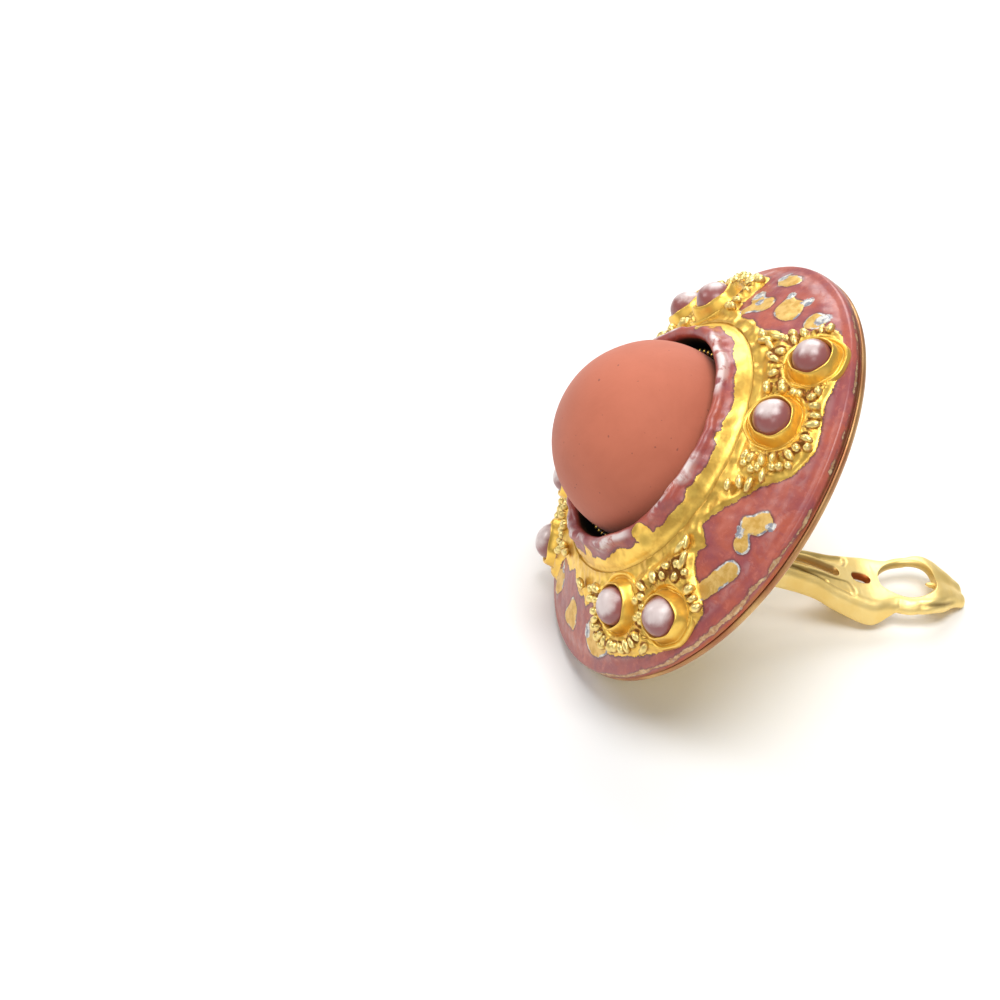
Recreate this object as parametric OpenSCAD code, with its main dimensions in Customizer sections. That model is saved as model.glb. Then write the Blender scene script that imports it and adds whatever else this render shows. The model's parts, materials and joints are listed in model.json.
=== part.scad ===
// Round button clip-on earring: an enamelled and gilded casting with a matte dome in a raised
// collar, eight pearl knobs in sockets, and a hinged spring lever behind.
// The earring lies as it does when put down: on the lower edge of its back and the tip of its lever.

/* [Disc] */
// Diameter of the disc
disc_d = 34; // [30:0.5:44]
// Thickness of the casting at its edge
edge_t = 1.2; // [0.7:0.05:2]
// Rise of the sloping flange for each millimetre towards the middle
flange_slope = 0.49; // [0.3:0.01:0.6]
// Thickness of the back plate
plate_t = 0.7; // [0.6:0.05:1.2]
// Clearance between pieces that are glued or set into each other
gap = 0.05; // [0.03:0.01:0.1]

/* [Dome and collar] */
// Diameter of the dome
dome_d = 15; // [12:0.5:17]
// Height of the dome's centre above the back of the casting
dome_z = 5; // [4:0.05:6]
// Width of the dark gap between the dome and the collar
moat_w = 0.8; // [0.6:0.05:1.2]
// Height of the collar's lip above the back of the casting
collar_h = 6.4; // [5.8:0.05:8]
// Width of the collar from its bore to its foot
collar_w = 2.2; // [1.6:0.1:3]
// Thickness of the floor under the dome
floor_t = 2.6; // [1.5:0.1:3]
// Wall of the toothed bezel round the dome
bezel_w = 0.25; // [0.2:0.05:0.4]
// Height of the bezel above the floor
bezel_h = 2.4; // [1.5:0.1:3]
// Number of teeth on the bezel
bezel_teeth = 72; // [48:4:96]

/* [Knobs] */
// Diameter of a pearl knob
pearl_d = 2.9; // [2.2:0.1:3.2]
// Height of a pearl's centre above the flange
pearl_h = 0.65; // [0.5:0.05:1]
// Diameter of a socket at its foot
socket_d = 4; // [3.8:0.1:4.4]
// Height of a socket above the flange
socket_h = 1.1; // [0.8:0.05:1.3]
// Turn of the knobs and crust against the lever
pattern_turn = 24; // [0:1:89]

/* [Crust] */
// Thickness of the crust on the flange
crust_t = 0.28; // [0.2:0.02:0.5]
// Height of the lumps on the crust
lump_h = 0.5; // [0.2:0.05:0.7]
// Angle that one field of crust covers
crust_span = 56; // [44:1:64]

/* [Lever] */
// Length of the lever from its pin to its tip
lever_l = 23; // [20:0.2:26]
// Width of the lever's arms
arm_w = 3.5; // [3.2:0.1:4.4]
// Width of the lever's shoulders
shoulder_w = 6.6; // [6:0.1:7.4]
// Width of the lever's loop
loop_w = 6.8; // [6.2:0.1:7.6]
// Width of the metal round the loop's hole
loop_rim = 1.3; // [1:0.05:1.5]
// Width of the slot between the arms
slot_w = 1.1; // [0.8:0.1:1.4]
// Thickness of the lever's sheet
sheet_t = 0.75; // [0.6:0.05:0.9]
// Depth of the flanges bent down along the arms
flange_h = 1.65; // [1.4:0.05:2]
// Angle between the lever and the back plate as it lies
open_angle = 70; // [60:1:80]

/* [Bracket] */
// Distance of the pin below the middle of the disc
pin_drop = 6.1; // [5:0.1:7]
// Distance of the pin behind the back plate
pin_rise = 2.65; // [2.4:0.05:3.2]
// Diameter of the pin
pin_d = 0.9; // [0.7:0.05:1.1]
// Running clearance between the pin and the lever
pin_clear = 0.05; // [0.03:0.01:0.1]
// Thickness of an ear of the bracket
ear_t = 0.8; // [0.6:0.05:1]
// Room on each side between the lever and an ear
side_clear = 0.25; // [0.15:0.05:0.4]
// Thickness of the bracket's foot
foot_t = 0.6; // [0.4:0.05:0.7]

/* [Hidden] */
$fn = 96;

disc_r = disc_d / 2;
dome_r = dome_d / 2;
pearl_r = pearl_d / 2;
socket_r = socket_d / 2;
bore_r = dome_r + moat_w;
foot_r = bore_r + collar_w;

// Edge of the disc, from the front of the casting to the back of the plate: [radius, height]
edge_round = 0.3;
plate_inset = 0.05;
plate_bevel = 0.3;
cast_edge = [
  [disc_r - edge_round, edge_t],
  [disc_r, edge_t - edge_round],
  [disc_r, edge_round],
  [disc_r - plate_inset, 0]
];
plate_edge = [
  [disc_r - plate_inset, -gap],
  [disc_r - plate_inset, -plate_t + plate_bevel],
  [disc_r - plate_inset - plate_bevel, -plate_t]
];

// Radius of the collar's round lip
lip_r = 0.45;
// Groove at the collar's foot: its run out on the flange and its depth, and the cove inside it
groove_out = 0.5;
groove_h = 0.1;
cove_w = 0.35;
cove_h = 0.25;
// How far the sockets reach into the flange, and how much narrower they are at the top
socket_sink = 0.8;
socket_taper = 0.2;
// Rise of the teeth outside the bezel's wall
tooth_h = 0.12;
// How far a cutting tool runs past the face that it cuts
past = 1;

// Height of the plain flange above the back of the casting at radius r
function flange_z(r) = edge_t + flange_slope * (disc_r - edge_round - r);

// Knobs in each quarter: [radius of the foot as a share of the disc's radius, angle]
KNOB_ROWS = [
  [0.857, 46.5],
  [0.742, 26.3]
];
KNOBS = [for (q = [0:3]) for (row = KNOB_ROWS)
  [row[0] * disc_r, row[1] + 90 * q + pattern_turn]];
lean_out = atan(flange_slope);

// Centre of a pearl: it stands off the flange along the flange's own normal
function pearl_at(k) =
  let (r = KNOBS[k][0] + pearl_h * sin(lean_out), a = KNOBS[k][1])
  [r * cos(a), r * sin(a), flange_z(KNOBS[k][0]) + pearl_h * cos(lean_out)];

// Lever seen from the side, as a share of its length and a height in mm towards the ear:
// the heel, the straight arms, the shoulders, the raised loop and the lip turned down
LEVER_LINE = [
  [-0.055, 0.95],
  [0.05, 0.95],
  [0.22, 0.7],
  [0.43, 0.42],
  [0.53, 0.02],
  [0.66, -0.15],
  [0.77, 0.4],
  [0.86, 1.05],
  [0.93, 0.85],
  [0.97, 0.5],
  [1, 0.25]
];
// Lever seen from above, half widths as shares of the arm, shoulder and loop widths:
// [share of the length, share of arm_w, share of shoulder_w, share of loop_w]
LEVER_WIDTH = [
  [-0.06, 0.5, 0, 0],
  [0.3, 0.5, 0, 0],
  [0.43, 0.56, 0, 0],
  [0.52, 0.36, 0.19, 0],
  [0.6, 0, 0.46, 0],
  [0.665, 0, 0.5, 0],
  [0.72, 0, 0.46, 0],
  [0.765, 0, 0, 0.43],
  [0.83, 0, 0, 0.5],
  [0.89, 0, 0, 0.44],
  [0.935, 0, 0, 0.32],
  [0.98, 0, 0, 0.22],
  [1.01, 0, 0, 0.17]
];

// Curve of smooth joins through the points of a table, n steps between two points
function smooth(p, n) = [
  for (i = [0:len(p) - 2])
    let (a = p[max(i - 1, 0)], b = p[i], c = p[i + 1], d = p[min(i + 2, len(p) - 1)])
      for (t = [0:1 / n:0.999])
        0.5 * ((2 * b) + (c - a) * t + (2 * a - 5 * b + 4 * c - d) * t * t
          + (3 * b - a - 3 * c + d) * t * t * t),
  p[len(p) - 1]
];

lever_side = smooth([for (p = LEVER_LINE) [p[0] * lever_l, p[1]]], 4);
lever_half = smooth([for (p = LEVER_WIDTH)
  [p[0] * lever_l, p[1] * arm_w + p[2] * shoulder_w + p[3] * loop_w]], 4);

// Points at distance d to the left of a curve
function beside(p, d) = [for (i = [0:len(p) - 1])
  let (v = p[min(i + 1, len(p) - 1)] - p[max(i - 1, 0)])
    p[i] + d * [-v[1], v[0]] / norm(v)];

lever_top = beside(lever_side, sheet_t / 2);
lever_under = beside(lever_side, -sheet_t / 2);

// Flanges of the lever: from the heel to where they run out behind the shoulders
flange_end = 0.75 * lever_l;
heel = 1.25;
heel_rise = 0.15;
FLANGE_FOOT = [
  [0.1, 0.6],
  [0.43, 0.42],
  [0.53, 0.02],
  [0.66, -0.3]
];
flange_foot = concat(
  [[-heel, -heel + heel_rise]],
  [for (p = FLANGE_FOOT) [p[0] * lever_l, p[1] - flange_h]],
  [[flange_end, 0]]
);

// Hole of the loop, as shares of the length: its middle and its half length; it widens to the tip
hole_mid = 0.785;
hole_half = 0.095;
hole_flare = 0.12;
// Catch slot between the shoulders, and where it starts as a share of the length
catch_w = 0.7;
catch_l = 1.2;
catch_from = 0.6;

// Place of the pin in the disc's own frame, and of a lever point [length, height]
pin_y = -pin_drop;
pin_z = -plate_t - pin_rise;
function lever_at(p) = [
  pin_y + p[0] * cos(open_angle) + p[1] * sin(open_angle),
  pin_z - p[0] * sin(open_angle) + p[1] * cos(open_angle)
];

// The disc leans back until the lip of the lever and the disc's edge both touch the ground
tip = lever_at(lever_under[len(lever_under) - 1]);
lean = max([for (p = concat(cast_edge, plate_edge)) atan2(tip[0] + p[0], p[1] - tip[1])]);
ground = tip[0] * cos(lean) + tip[1] * sin(lean);

// How far the leaning earring reaches to the front and to the back
function back_of(p) = p[0] * sin(lean) - p[1] * cos(lean);
front_y = min(min([for (k = [0:7]) back_of([pearl_at(k)[1], pearl_at(k)[2]]) - pearl_r]),
  back_of([0, dome_z]) - dome_r);
back_y = max([for (p = concat(lever_top, lever_under)) back_of(lever_at(p))]);

// Puts a piece of the upright disc, face up at the origin, into the leaning earring
module laid() {
  translate([0, -(front_y + back_y) / 2, -ground])
    rotate([90 - lean, 0, 0]) children();
}

// Fields of crust: two knobs stand in each
crust_in = 0.655;
crust_out = 0.955;
crust_mid = 36.4;
// Steps of a field along its span and across it
crust_steps = [32, 14];
// How far a field's rim and the middle of its underside reach into the flange
crust_rim_sink = 0.35;
crust_mid_sink = 0.8;
// Ring of lumps: distance of its crest from a socket, and its width
lump_ring = 0.55;
lump_ring_w = 0.42;

// Half the angle between the middle of a field and its end narrows its reach in and out
function field_in(t) = disc_r * (crust_in + 0.05 * pow(abs(2 * t - 1), 3));
function field_out(t, q) = disc_r * (crust_out - 0.09 * pow(abs(2 * t - 1), 4)
  + 0.006 * sin(1900 * t + 60 * q));

// Lumps stand in a ring round each knob and are strewn over the rest
function lumps(x, y, q) =
  let (near = [for (row = KNOB_ROWS)
    let (c = row[0] * disc_r * [cos(row[1]), sin(row[1])], v = [x, y] - c, d = norm(v),
      f = (d - socket_r - lump_ring) / lump_ring_w)
      exp(-f * f) * (0.55 + 0.45 * cos(11 * atan2(v[1], v[0]) + 77 * q))])
    max(near[0], near[1], 0.3 + 0.3 * sin(230 * x + 100 * q) * sin(190 * y));

function field_top(t, v, q) =
  let (r = field_in(t) + v * (field_out(t, q) - field_in(t)),
    a = crust_mid + crust_span * (t - 0.5),
    x = r * cos(a), y = r * sin(a),
    rim = min(1, 6 * min(t, 1 - t), 5 * min(v, 1 - v)))
    [x, y, flange_z(r) + crust_t * (0.4 + 0.6 * rim) + lump_h * rim * lumps(x, y, q)];

// A closed field: the lumpy top, walls down into the flange, and a sunk bottom
module crust(q) {
  na = crust_steps[0];
  nb = crust_steps[1];
  top = [for (i = [0:na]) for (j = [0:nb]) field_top(i / na, j / nb, q)];
  ring = concat(
    [for (i = [0:na - 1]) i * (nb + 1)],
    [for (j = [0:nb - 1]) na * (nb + 1) + j],
    [for (i = [na:-1:1]) i * (nb + 1) + nb],
    [for (j = [nb:-1:1]) j]
  );
  n = len(ring);
  low = [for (i = ring)
    [top[i][0], top[i][1], flange_z(norm([top[i][0], top[i][1]])) - crust_rim_sink]];
  mid_r = (field_in(0.5) + field_out(0.5, q)) / 2;
  mid = [mid_r * cos(crust_mid), mid_r * sin(crust_mid), flange_z(mid_r) - crust_mid_sink];
  first_low = len(top);
  last = first_low + n;
  cells = [for (i = [0:na - 1]) for (j = [0:nb - 1]) i * (nb + 1) + j];
  polyhedron(
    points = concat(top, low, [mid]),
    faces = concat(
      [for (c = cells) [c, c + nb + 1, c + nb + 2]],
      [for (c = cells) [c, c + nb + 2, c + 1]],
      [for (i = [0:n - 1]) [ring[i], first_low + (i + 1) % n, ring[(i + 1) % n]]],
      [for (i = [0:n - 1]) [ring[i], first_low + i, first_low + (i + 1) % n]],
      [for (i = [0:n - 1]) [last, first_low + (i + 1) % n, first_low + i]]
    ),
    convexity = 6
  );
}

// Stands its children on the flange at knob k, upright on the slope
module on_flange(k) {
  rotate([0, 0, KNOBS[k][1]])
    translate([KNOBS[k][0], 0, flange_z(KNOBS[k][0])])
      rotate([0, lean_out, 0]) children();
}

// The casting turned on its axis: edge, sloping flange, hollow foot and round lip of the collar
module turned_face() {
  rotate_extrude()
    polygon(concat(
      [[0, 0], [cast_edge[3][0], 0]],
      [cast_edge[2], cast_edge[1], cast_edge[0]],
      [[foot_r + groove_out, flange_z(foot_r + groove_out)]],
      [[foot_r, flange_z(foot_r) - groove_h]],
      [[foot_r - cove_w, flange_z(foot_r) + cove_h]],
      [for (a = [0:30:180]) [bore_r + lip_r + lip_r * cos(a), collar_h - lip_r + lip_r * sin(a)]],
      [[bore_r, floor_t], [0, floor_t]]
    ));
}

module cast_face() {
  color("indianred")
    laid()
      difference() {
        union() {
          turned_face();
          for (q = [0:3])
            rotate([0, 0, 90 * q + pattern_turn]) crust(q);
          for (k = [0:7])
            on_flange(k) translate([0, 0, -socket_sink])
              cylinder(h = socket_h + socket_sink, r1 = socket_r, r2 = socket_r - socket_taper);
        }
        for (k = [0:7])
          on_flange(k) translate([0, 0, pearl_h - pearl_r - gap])
            cylinder(h = pearl_r + socket_h, r = pearl_r + gap);
      }
}

// Plate closing the back, with the bracket of the lever soldered to it
module back_plate() {
  ear_x = arm_w / 2 + side_clear;
  ear_wall = 0.75;
  ear_r = pin_d / 2 + ear_wall;
  foot_l = 5.6;
  pin_fit = 0.02;
  color("goldenrod")
    laid() {
      difference() {
        union() {
          rotate_extrude() polygon(concat([[0, -gap]], plate_edge, [[0, -plate_t]]));
          translate([-ear_x - ear_t, pin_y - foot_l / 2, -plate_t - foot_t])
            cube([2 * (ear_x + ear_t), foot_l, foot_t + plate_t / 2]);
          for (s = [-1, 1])
            translate([s * (ear_x + ear_t / 2) - ear_t / 2, 0, 0]) {
              translate([0, pin_y, pin_z]) rotate([0, 90, 0]) cylinder(h = ear_t, r = ear_r);
              translate([0, pin_y - ear_r, pin_z])
                cube([ear_t, 2 * ear_r, pin_rise + plate_t / 2]);
            }
        }
        translate([-ear_x - 2 * ear_t, pin_y, pin_z])
          rotate([0, 90, 0]) cylinder(h = 2 * ear_x + 4 * ear_t, r = pin_d / 2 + pin_fit);
      }
    }
}

module dome() {
  color("salmon")
    laid()
      intersection() {
        translate([0, 0, dome_z]) sphere(r = dome_r);
        translate([-dome_r, -dome_r, floor_t + gap])
          cube([dome_d, dome_d, dome_z + dome_r]);
      }
}

// Thin wall round the dome with a toothed outside
module bezel_ring() {
  r = dome_r + gap;
  step = 180 / bezel_teeth;
  color("gold")
    laid()
      translate([0, 0, floor_t + gap])
        difference() {
          linear_extrude(height = bezel_h)
            polygon([for (i = [0:2 * bezel_teeth - 1])
              (r + bezel_w + (i % 2) * tooth_h) * [cos(i * step), sin(i * step)]]);
          translate([0, 0, -past]) cylinder(h = bezel_h + 2 * past, r = r);
        }
}

module pearl(k) {
  color("rosybrown")
    laid() on_flange(k) translate([0, 0, pearl_h]) sphere(r = pearl_r);
}

module hinge_pin() {
  ear_out = arm_w / 2 + side_clear + ear_t;
  head_t = 0.25;
  head_over = 0.2;
  color("goldenrod")
    laid()
      translate([0, pin_y, pin_z])
        rotate([0, 90, 0]) {
          translate([0, 0, -ear_out - gap]) cylinder(h = 2 * (ear_out + gap), r = pin_d / 2);
          for (s = [-1, 1])
            translate([0, 0, s * (ear_out + gap + head_t / 2) - head_t / 2])
              cylinder(h = head_t, r = pin_d / 2 + head_over);
        }
}

// Extrudes a side view, drawn as [length, height], across the width of the lever
module side_view(w) {
  translate([w / 2, 0, 0]) rotate([0, -90, 0]) rotate([0, 0, 90]) mirror([0, 1, 0])
    linear_extrude(height = w) children();
}

// Outline of the lever between its heel and its tip, drawn as [width, length]
module lever_outline() {
  polygon(concat([for (p = lever_half) [p[1], p[0]]],
    [for (i = [len(lever_half) - 1:-1:0]) [-lever_half[i][1], lever_half[i][0]]]));
}

module clip_lever() {
  tall = 8;
  hole_w = loop_w / 2 - loop_rim;
  slot_from = 0.12 * lever_l;
  slot_to = 0.52 * lever_l;
  heel_inner = [for (p = lever_half) if (p[0] < flange_end) p];
  color("khaki")
    laid()
      translate([0, pin_y, pin_z])
        rotate([-open_angle, 0, 0])
          difference() {
            union() {
              intersection() {
                side_view(2 * loop_w)
                  polygon(concat(lever_top, [for (i = [len(lever_under) - 1:-1:0]) lever_under[i]]));
                translate([0, 0, -tall / 2]) linear_extrude(height = tall) lever_outline();
              }
              intersection() {
                side_view(2 * loop_w)
                  polygon(concat([for (p = lever_side) if (p[0] < flange_end) p],
                    [for (i = [len(flange_foot) - 1:-1:0]) flange_foot[i]]));
                translate([0, 0, -tall / 2]) linear_extrude(height = tall)
                  for (s = [-1, 1])
                    polygon(concat([for (p = heel_inner) [s * p[1], p[0]]],
                      [for (i = [len(heel_inner) - 1:-1:0])
                        [s * (heel_inner[i][1] - sheet_t), heel_inner[i][0]]]));
              }
            }
            translate([0, 0, -tall / 2]) linear_extrude(height = tall) {
              polygon([for (a = [0:15:345])
                [hole_w * cos(a) * (1 + hole_flare * sin(a)),
                  (hole_mid + hole_half * sin(a)) * lever_l]]);
              translate([-slot_w / 2, slot_from]) square([slot_w, slot_to - slot_from]);
              translate([0, slot_to]) circle(d = slot_w);
              translate([0, slot_from]) circle(d = slot_w);
              translate([-catch_w / 2, catch_from * lever_l]) square([catch_w, catch_l]);
            }
            translate([-loop_w, 0, 0])
              rotate([0, 90, 0]) cylinder(h = 2 * loop_w, r = pin_d / 2 + pin_clear);
          }
}

cast_face();
back_plate();
dome();
bezel_ring();
pearl(0);  // pearl_1
pearl(1);  // pearl_2
pearl(2);  // pearl_3
pearl(3);  // pearl_4
pearl(4);  // pearl_5
pearl(5);  // pearl_6
pearl(6);  // pearl_7
pearl(7);  // pearl_8
hinge_pin();
clip_lever();
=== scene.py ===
"""Surfaces, finishes and studio for a round button clip earring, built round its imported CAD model.

The face is rose enamel over a casting, with bright gilding, flakes of gold leaf edged with silver,
granulated crust round pearl knobs in sockets, and a matte dome in a raised collar. Behind it are a
gilt plate, a bracket and a sprung lever. Shapes are worked out in millimetres in the disc's own
frame (across, up along the back, out of the face) and are then placed in the CAD frame in metres.
"""

import json

import bmesh
import bpy
import numpy as np
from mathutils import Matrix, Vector


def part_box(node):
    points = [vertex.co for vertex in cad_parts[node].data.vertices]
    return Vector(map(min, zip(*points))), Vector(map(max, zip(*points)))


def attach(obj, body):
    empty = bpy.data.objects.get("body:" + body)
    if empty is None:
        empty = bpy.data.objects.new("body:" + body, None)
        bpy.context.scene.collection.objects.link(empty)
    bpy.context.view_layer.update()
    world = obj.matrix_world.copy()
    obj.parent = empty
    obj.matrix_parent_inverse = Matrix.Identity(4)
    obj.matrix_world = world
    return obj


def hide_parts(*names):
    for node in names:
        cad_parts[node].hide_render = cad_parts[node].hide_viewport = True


bl_info = {
    "name": "Enamelled button earring",
    "version": (1, 0, 0),
    "blender": (4, 5, 0),
    "location": "3D View > Sidebar > Earring",
    "description": "Builds the surfaces, finishes and studio of a round button clip earring",
    "category": "Add Mesh",
}

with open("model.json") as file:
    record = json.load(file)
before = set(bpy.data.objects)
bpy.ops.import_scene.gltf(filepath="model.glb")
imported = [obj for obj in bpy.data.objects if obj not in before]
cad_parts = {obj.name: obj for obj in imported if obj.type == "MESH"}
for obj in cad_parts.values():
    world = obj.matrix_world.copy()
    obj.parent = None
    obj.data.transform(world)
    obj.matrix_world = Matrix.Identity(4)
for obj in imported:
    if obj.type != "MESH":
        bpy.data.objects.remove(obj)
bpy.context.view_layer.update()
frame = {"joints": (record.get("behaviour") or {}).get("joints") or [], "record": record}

MM = 0.001
TURN = 2 * np.pi
# Depth in mm of the points that no gilding, leaf, silver or wear can reach
OUTSIDE = -9.0

# The disc's own frame: its middle at the seam between casting and back plate, and three directions
GRIP = next(m for m in frame["record"]["mounts"] if m["name"] == "ear_grip")
HINGE = frame["joints"][0]
PLATE_T = 0.7
ACROSS = np.array([1.0, 0.0, 0.0])
OUTWARD = -np.array(GRIP["axis"])
UPWARD = np.cross(OUTWARD, ACROSS)
AXES = np.array([ACROSS, UPWARD, OUTWARD])
SEAM = np.array(GRIP["pos_m"]) / MM + PLATE_T * OUTWARD
PIN = AXES @ (np.array(HINGE["pos_m"]) / MM - SEAM)
UP_IN_DISC = AXES @ np.array([0.0, 0.0, 1.0])
RIM_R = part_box("cast_face")[1].x / MM

# Knobs in each quarter of the face: share of the rim's radius, and angle in degrees
KNOB_ROWS = ((0.857, 46.5), (0.742, 26.3))
# Turn of the whole pattern, and the middle of a crust field in its quarter, in degrees
PATTERN_TURN = 24
CRUST_MIDDLE = 36.4
KNOBS = np.array(
    [(share * RIM_R, np.radians(angle + 90 * quarter + PATTERN_TURN)) for quarter in range(4)
     for share, angle in KNOB_ROWS]
)
KNOB_FEET = KNOBS[:, 0, None] * np.c_[np.cos(KNOBS[:, 1]), np.sin(KNOBS[:, 1])]
# Rings of granules round each knob: radius in mm, how many, and kind (0 ridge, 1 bead, 2 nugget)
GRANULE_RINGS = ((2.5, 24, 1), (3.0, 27, 0), (3.72, 31, 1), (4.25, 33, 2), (4.9, 36, 2),
                 (5.6, 40, 2))
NUGGET = 2
# Least and most half sizes of a granule in mm, one row for each kind: along, across, up
GRANULE_LEAST = ((0.45, 0.26, 0.3), (0.32, 0.3, 0.32), (0.5, 0.24, 0.26))
GRANULE_MOST = ((0.64, 0.35, 0.5), (0.42, 0.39, 0.46), (0.9, 0.34, 0.46))

# Outer edge of the gilding that runs from the collar's foot over the crust: angle, radius in mm
GILD_REACH = (
    (0, 12.4), (4, 12.5), (7, 11.4), (10, 11.3), (15, 11.6), (21, 12.3), (28, 13.2), (33, 14.5),
    (36, 15.2), (43, 15.9), (50, 15.8), (56, 15.6), (62, 16.0), (70, 16.35), (76, 16.4),
    (81, 16.1), (84, 15.3), (86, 13.2), (89, 12.5), (92, 12.4), (97, 11.6), (102, 11.4),
    (108, 11.5), (114, 11.2), (119, 11.6), (123, 12.0), (125, 13.0), (126.5, 15.2), (130, 15.6),
    (136, 16.0), (142, 16.3), (150, 16.4), (158, 16.4), (164, 16.3), (169, 15.9), (172, 14.9),
    (174, 13.1), (178, 11.9), (181, 11.5), (186, 11.4), (191, 11.4), (196, 11.8), (201, 12.2),
    (206, 12.9), (210, 13.6), (214, 13.9), (218, 14.9), (224, 15.6), (232, 16.0), (238, 16.2),
    (245, 16.4), (252, 16.4), (258, 16.2), (261, 15.5), (263, 13.2), (266, 12.6), (270, 12.4),
    (275, 12.3), (281, 11.5), (284, 12.2), (290, 12.7), (293, 12.4), (296, 13.1), (300, 12.4),
    (303, 13.4), (306, 15.2), (310, 15.5), (315, 15.8), (321, 15.9), (328, 16.1), (336, 16.4),
    (343, 16.3), (350, 16.0), (353, 15.6), (355, 13.8), (357, 12.9),
)

# Flakes of gold leaf on the enamel, as outlines [across, up] in mm
LEAF_FLAKES = (
    ((-8.1, 13.05), (-7.9, 13.75), (-7.5, 14.1), (-6.7, 14.6), (-6, 14.8), (-5.55, 14.55),
     (-5.7, 14), (-6.1, 13.5), (-6.75, 13.1), (-7.5, 12.95)),
    ((-4.55, 13.9), (-4, 14), (-3.5, 14.1), (-2.75, 14.45), (-2.5, 15), (-2.1, 14.9), (-2, 14.5),
     (-1.4, 14.25), (-1, 13.75), (-1.25, 13.05), (-1.9, 12.6), (-2.75, 12.45), (-3.5, 12.6),
     (-3.9, 13.05), (-4.25, 13.45)),
    ((-0.4, 14.75), (-0.25, 15.25), (0.4, 15.7), (0.9, 15.8), (1.25, 15.5), (1.4, 15),
     (1.1, 14.4), (0.5, 14.05), (-0.1, 14.25)),
    ((-7.4, 11.4), (-6.8, 11.9), (-5.95, 12.05), (-5.3, 12.6), (-4.5, 12.6), (-4.1, 12.1),
     (-4.35, 11.4), (-4.9, 10.9), (-5.2, 10.2), (-5.9, 10.1), (-6.1, 10.9), (-6.7, 11.0)),
    ((-16.35, 0.25), (-16.25, 0.95), (-15.9, 1.25), (-15.25, 1.3), (-14.6, 1), (-14.35, 0.25),
     (-14.55, -0.5), (-15, -0.9), (-15.25, -1.15), (-15.1, -1.6), (-15.5, -2.05),
     (-15.9, -1.75), (-15.95, -1.25), (-16.2, -0.75)),
    ((-14.25, -3.25), (-14, -2.5), (-13.4, -1.75), (-12.75, -1.25), (-11.9, -1.6),
     (-11.3, -2.25), (-11.25, -2.9), (-11.9, -3), (-12.4, -3.4), (-12.1, -3.9), (-12.6, -4.5),
     (-13.4, -4.7), (-14, -4.25)),
    ((-14.55, -6.1), (-13.75, -6.4), (-12.9, -6.75), (-12.4, -7.5), (-12.1, -8.4),
     (-12.4, -9.05), (-12.9, -8.75), (-13.5, -8), (-14, -7.1)),
    ((-2.2, -14.75), (-1.9, -14.1), (-1.4, -13.75), (-1.25, -13.1), (-1, -13.6),
     (-0.25, -13.5), (0.25, -14.1), (0, -14.75), (-0.5, -15.4), (-1.25, -15.8), (-2, -15.9)),
    ((2.35, -14.75), (2.75, -14), (3, -13.1), (3.75, -12.9), (4.5, -13.1), (5, -13.9),
     (4.9, -14.5), (4.25, -14.75), (3.5, -15.1), (2.6, -15.15)),
    ((6.75, -12.5), (7.1, -11.7), (8, -11.2), (9.2, -11.0), (10.3, -11.6), (9.8, -12.6),
     (8.75, -13.4), (7.75, -13.6), (7.1, -13.25)),
    ((13.2, 5.6), (13.6, 6.05), (14.4, 5.9), (14.6, 5.25), (14.5, 4.5), (14.05, 4),
     (14.75, 3.5), (14.75, 2.75), (14.1, 2.5), (13.6, 2.9), (13.5, 3.5), (12.95, 3.9),
     (12.75, 4.4), (13.05, 5)),
    ((14.3, 1.25), (14.55, 1.9), (15, 2.1), (15.45, 2), (15.65, 1.5), (15.5, 0.25),
     (15.25, -1), (15, -1.75), (14.1, -1.75), (14.05, -1), (14.2, 0)),
)
# Places where the leaf shows its silver ground: [across, up, radius] in mm
SILVER_SPOTS = (
    (-7.9, 13.4, 0.5), (-2.3, 14.8, 0.45), (-4.3, 13.8, 0.4), (0.75, 15.4, 0.55),
    (-6.9, 11.6, 0.6), (-5.6, 11.6, 0.35), (-11.9, -3.5, 0.55), (-1.2, -13.3, 0.35),
    (7.0, -12.8, 0.5), (13.4, 3.55, 0.4), (14.5, 5.6, 0.35), (-15.4, -1.6, 0.3),
)
# Collar, radii in mm: inside its lip, the gilding's border, its worn patches and its streaks
LIP_R, GILT_R, WEAR_R, STREAK_R = 9.0, 9.64, 9.3, 8.92
# Gilding that climbs the collar: angle, radius of its middle and half width in mm
COLLAR_WEAR = ((-15.5, 9.3, 0.5), (156, 9.5, 0.45), (119, 9.2, 0.4), (41, 9.75, 0.45),
               (-62, 9.6, 0.4), (205, 9.6, 0.35))
# Pearly white streaks along the collar's lip, partly painted highlight: middle angle, half span in
# degrees
LIP_STREAKS = ((83, 21), (12, 17), (-36, 14), (-76, 15), (222, 20), (175, 11), (146, 9))

# Lever: where it begins, and where its slot, catch and hole lie, as shares of its length. The
# catch's own length is in mm.
HEEL = -0.055
SLOT_FROM, SLOT_TO = 0.12, 0.52
CATCH_FROM = 0.59
CATCH_LONG = 1.65
HOLE_FROM, HOLE_MIDDLE, HOLE_TO = 0.69, 0.785, 0.88
HOLE_HALF = 0.095
# Cross sections of the lever between its heel, the ends of its openings, and its tip
LEVER_COUNTS = (24, 90, 16, 18, 16, 70, 40)
# Points of a half circle that rounds an edge of its sheet
ROUND_EDGE = np.radians((30, 60, 90, 120, 150))
# Side line of the lever: share of its length, height in mm
LEVER_LINE = ((-0.055, 0.95), (0.05, 0.95), (0.22, 0.7), (0.43, 0.42), (0.53, 0.02),
              (0.66, -0.15), (0.77, 0.4), (0.86, 1.05), (0.93, 0.85), (0.97, 0.5), (1, 0.25))
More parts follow.
